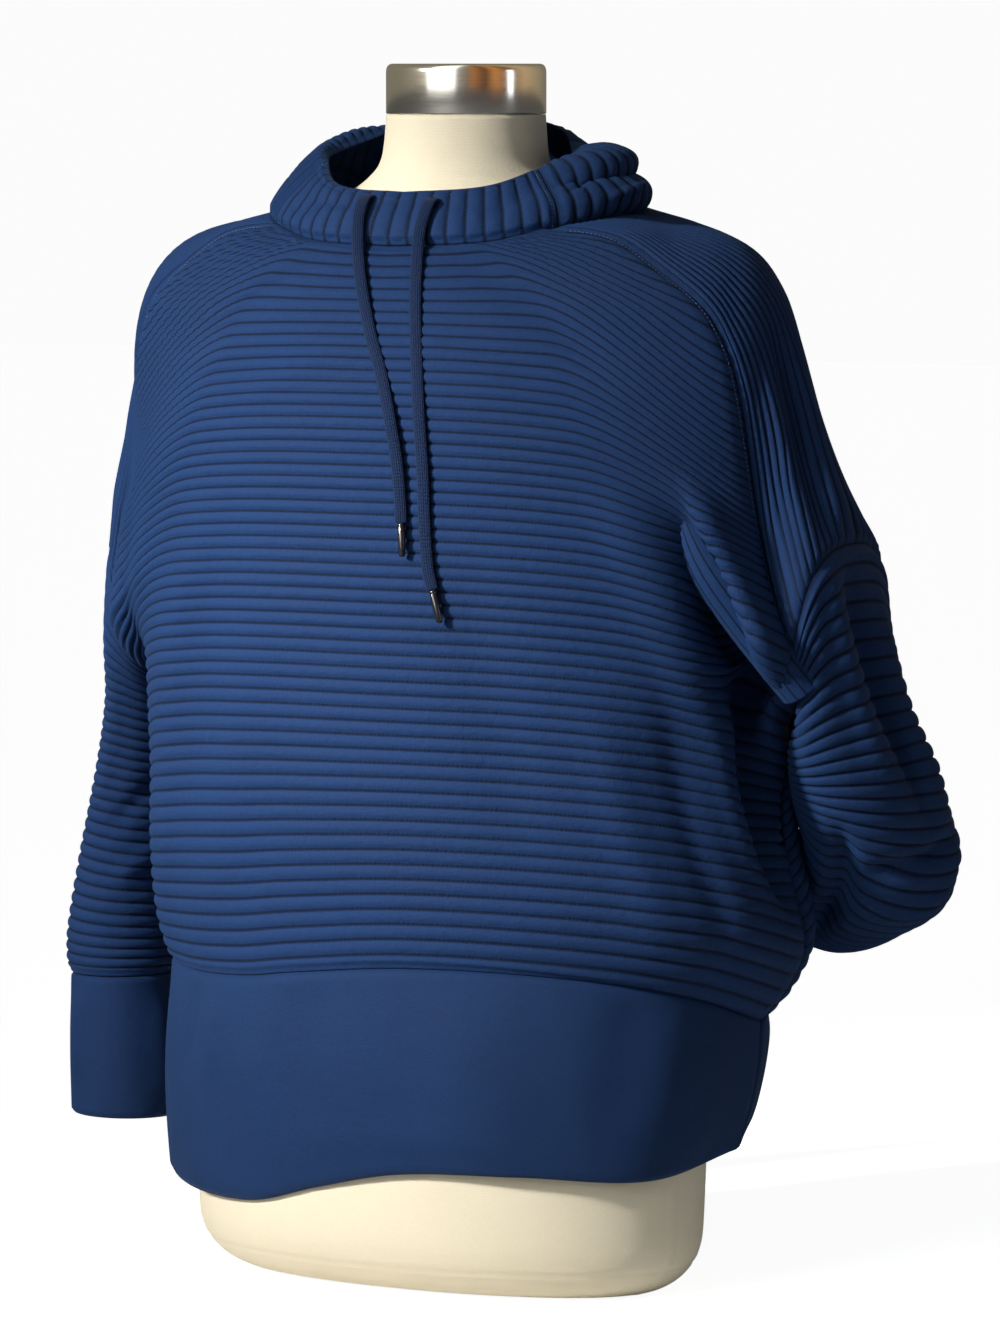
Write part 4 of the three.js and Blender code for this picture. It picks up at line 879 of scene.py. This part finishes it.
topstitch("neck_stitches", front_panel, -1, lambda t: (mix(-0.99, 0.99, t), t * 0 + 0.011))
topstitch("back_neck_stitches", back_panel, 1, lambda t: (mix(-0.99, 0.99, t), t * 0 + 0.009))
for side, name in ((1, "left"), (-1, "right")):
    topstitch(f"{name}_raglan_stitches", front_panel, -1, lambda t: (side * (0.991 + t * 0), mix(0.012, 0.42, t)))
    topstitch(f"{name}_back_stitches", back_panel, 1, lambda t: (side * (0.99 + t * 0), mix(0.012, 0.42, t)))
    topstitch(f"{name}_collar_stitches", hood_part(-COLLAR_SIDE, COLLAR_SIDE), 1,
              lambda t: (side * (0.965 + t * 0), mix(0.04, 0.97, t)))
topstitch("casing_stitches", hood_part(-COLLAR_SIDE, COLLAR_SIDE), 1, lambda t: (mix(-0.99, 0.99, t), t * 0 + 0.80), 1.6)


# Dress form: a limbless torso of foam under a stretched cream jersey cover, with a piped side seam, a
# seam above the base rim and a flat bottom on which it stands.
FORM_SECTIONS = [
    (0, 148, 60, -22, 2.1), (4, 165, 80, -23, 2.1), (14, 180, 96, -24, 2.1), (30, 190, 108, -25, 2.1),
    (56, 193, 113, -25, 2.1), (125, 194, 114, -25, 2.1), (205, 183, 111, -22, 2.1), (325, 152, 104, -18, 2.1),
    (430, 160, 110, -18, 2.2), (526, 176, 118, -18, 2.3), (596, 186, 113, -14, 2.4), (648, 196, 103, -8, 2.5),
    (684, 202, 92, -4, 2.5), (712, 194, 82, -3, 2.4), (728.6, 169, 73, -3, 2.2), (740.4, 140, 67, -4, 2),
    (750.6, 112, 65, -4, 2), (761, 87, 63, -4, 2), (772, 69, 60, -3, 2), (786, 59, 57.5, -1, 2),
    (816, 55.6, 55.6, 0, 2),
]
FORM_SEAM = -10


def form_surface(angle, share):
    count = len(FORM_SECTIONS) - 1
    rows = [(i / count, *row) for i, row in enumerate(FORM_SECTIONS)]
    z, a, b, cy, square = np.moveaxis(along(rows, share), -1, 0)
    c, s = np.cos(angle), np.sin(angle)
    full = 2 / square
    return np.stack([a * np.sign(c) * abs(c) ** full, cy + b * np.sign(s) * abs(s) ** full, z], -1)


def put_form(u, v, outer):
    angle = math.pi * u
    p = form_surface(angle, v)
    seam = np.minimum(abs(angle - math.radians(FORM_SEAM)), abs(abs(angle) - math.radians(180 + FORM_SEAM)))
    out = unit(p * (1, 1, 0))
    piping = 0.9 * np.exp(-((seam * 150 / 1.3) ** 2)) * (p[:, 2] < 120)
    rim = -0.8 * np.exp(-(((p[:, 2] - 22) / 1.4) ** 2))
    return (p + out * (piping + rim)[:, None]) / 1000, np.column_stack([u * 0.6, p[:, 2] / 1000]), {}


form = shaped("form_shell", 216, 180, put_form, tube=True, walled=False)
form_finish, tree, shader, knit, bump = knitted(
    "form_cover", (0.96, 0.87, 0.66, 1), {"Sheen Weight": 0.1, "Specular IOR Level": 0.25},
    loop=0.0011, heather=0.12, relief=0.00012,
)
form.data.materials.append(form_finish)
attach(form, "root")
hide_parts("dress_form")


# Neck cap: a drum of polished steel with a rolled upper edge, pushed onto the neck of the form.
CAP_BOTTOM = 0.8163
CAP_PROFILE = [
    (0, 0), (0.0552, 0), (0.0558, 0.0004), (0.056, 0.0012), (0.056, 0.029), (0.0558, 0.0312), (0.0551, 0.0330),
    (0.0540, 0.0342), (0.0524, 0.0349), (0.0505, 0.0350), (0.0495, 0.0346), (0.0480, 0.0344), (0, 0.0344),
]
bm = bmesh.new()
points = [bm.verts.new((r, 0, CAP_BOTTOM + z)) for r, z in CAP_PROFILE]
profile = [bm.edges.new(pair) for pair in zip(points, points[1:])]
bmesh.ops.spin(bm, geom=points + profile, axis=(0, 0, 1), angle=2 * math.pi, steps=128, use_merge=True)
bmesh.ops.remove_doubles(bm, verts=bm.verts[:], dist=1e-6)
bmesh.ops.recalc_face_normals(bm, faces=bm.faces[:])
for face in bm.faces:
    face.smooth = True
cap_mesh = bpy.data.meshes.new("cap_shell")
bm.to_mesh(cap_mesh)
bm.free()
cap = bpy.data.objects.new("cap_shell", cap_mesh)
bpy.context.collection.objects.link(cap)
cap_finish, tree, shader = finish_of("cap_metal", {"Base Color": (0.86, 0.83, 0.76, 1), "Metallic": 1.0})
coords = add_node(tree, "ShaderNodeTexCoord").outputs
smear = add_node(tree, "ShaderNodeMapping", {"Vector": coords["Object"], "Scale": (60, 60, 900)})
brushed = add_node(tree, "ShaderNodeTexNoise", {"Scale": 1, "Detail": 3, "Vector": smear.outputs[0]}).outputs[0]
polish = add_node(tree, "ShaderNodeMapRange", {"Value": brushed, "To Min": 0.1, "To Max": 0.24}).outputs[0]
tree.links.new(polish, shader.inputs["Roughness"])
cap_mesh.materials.append(cap_finish)
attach(cap, "root")
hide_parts("neck_cap")
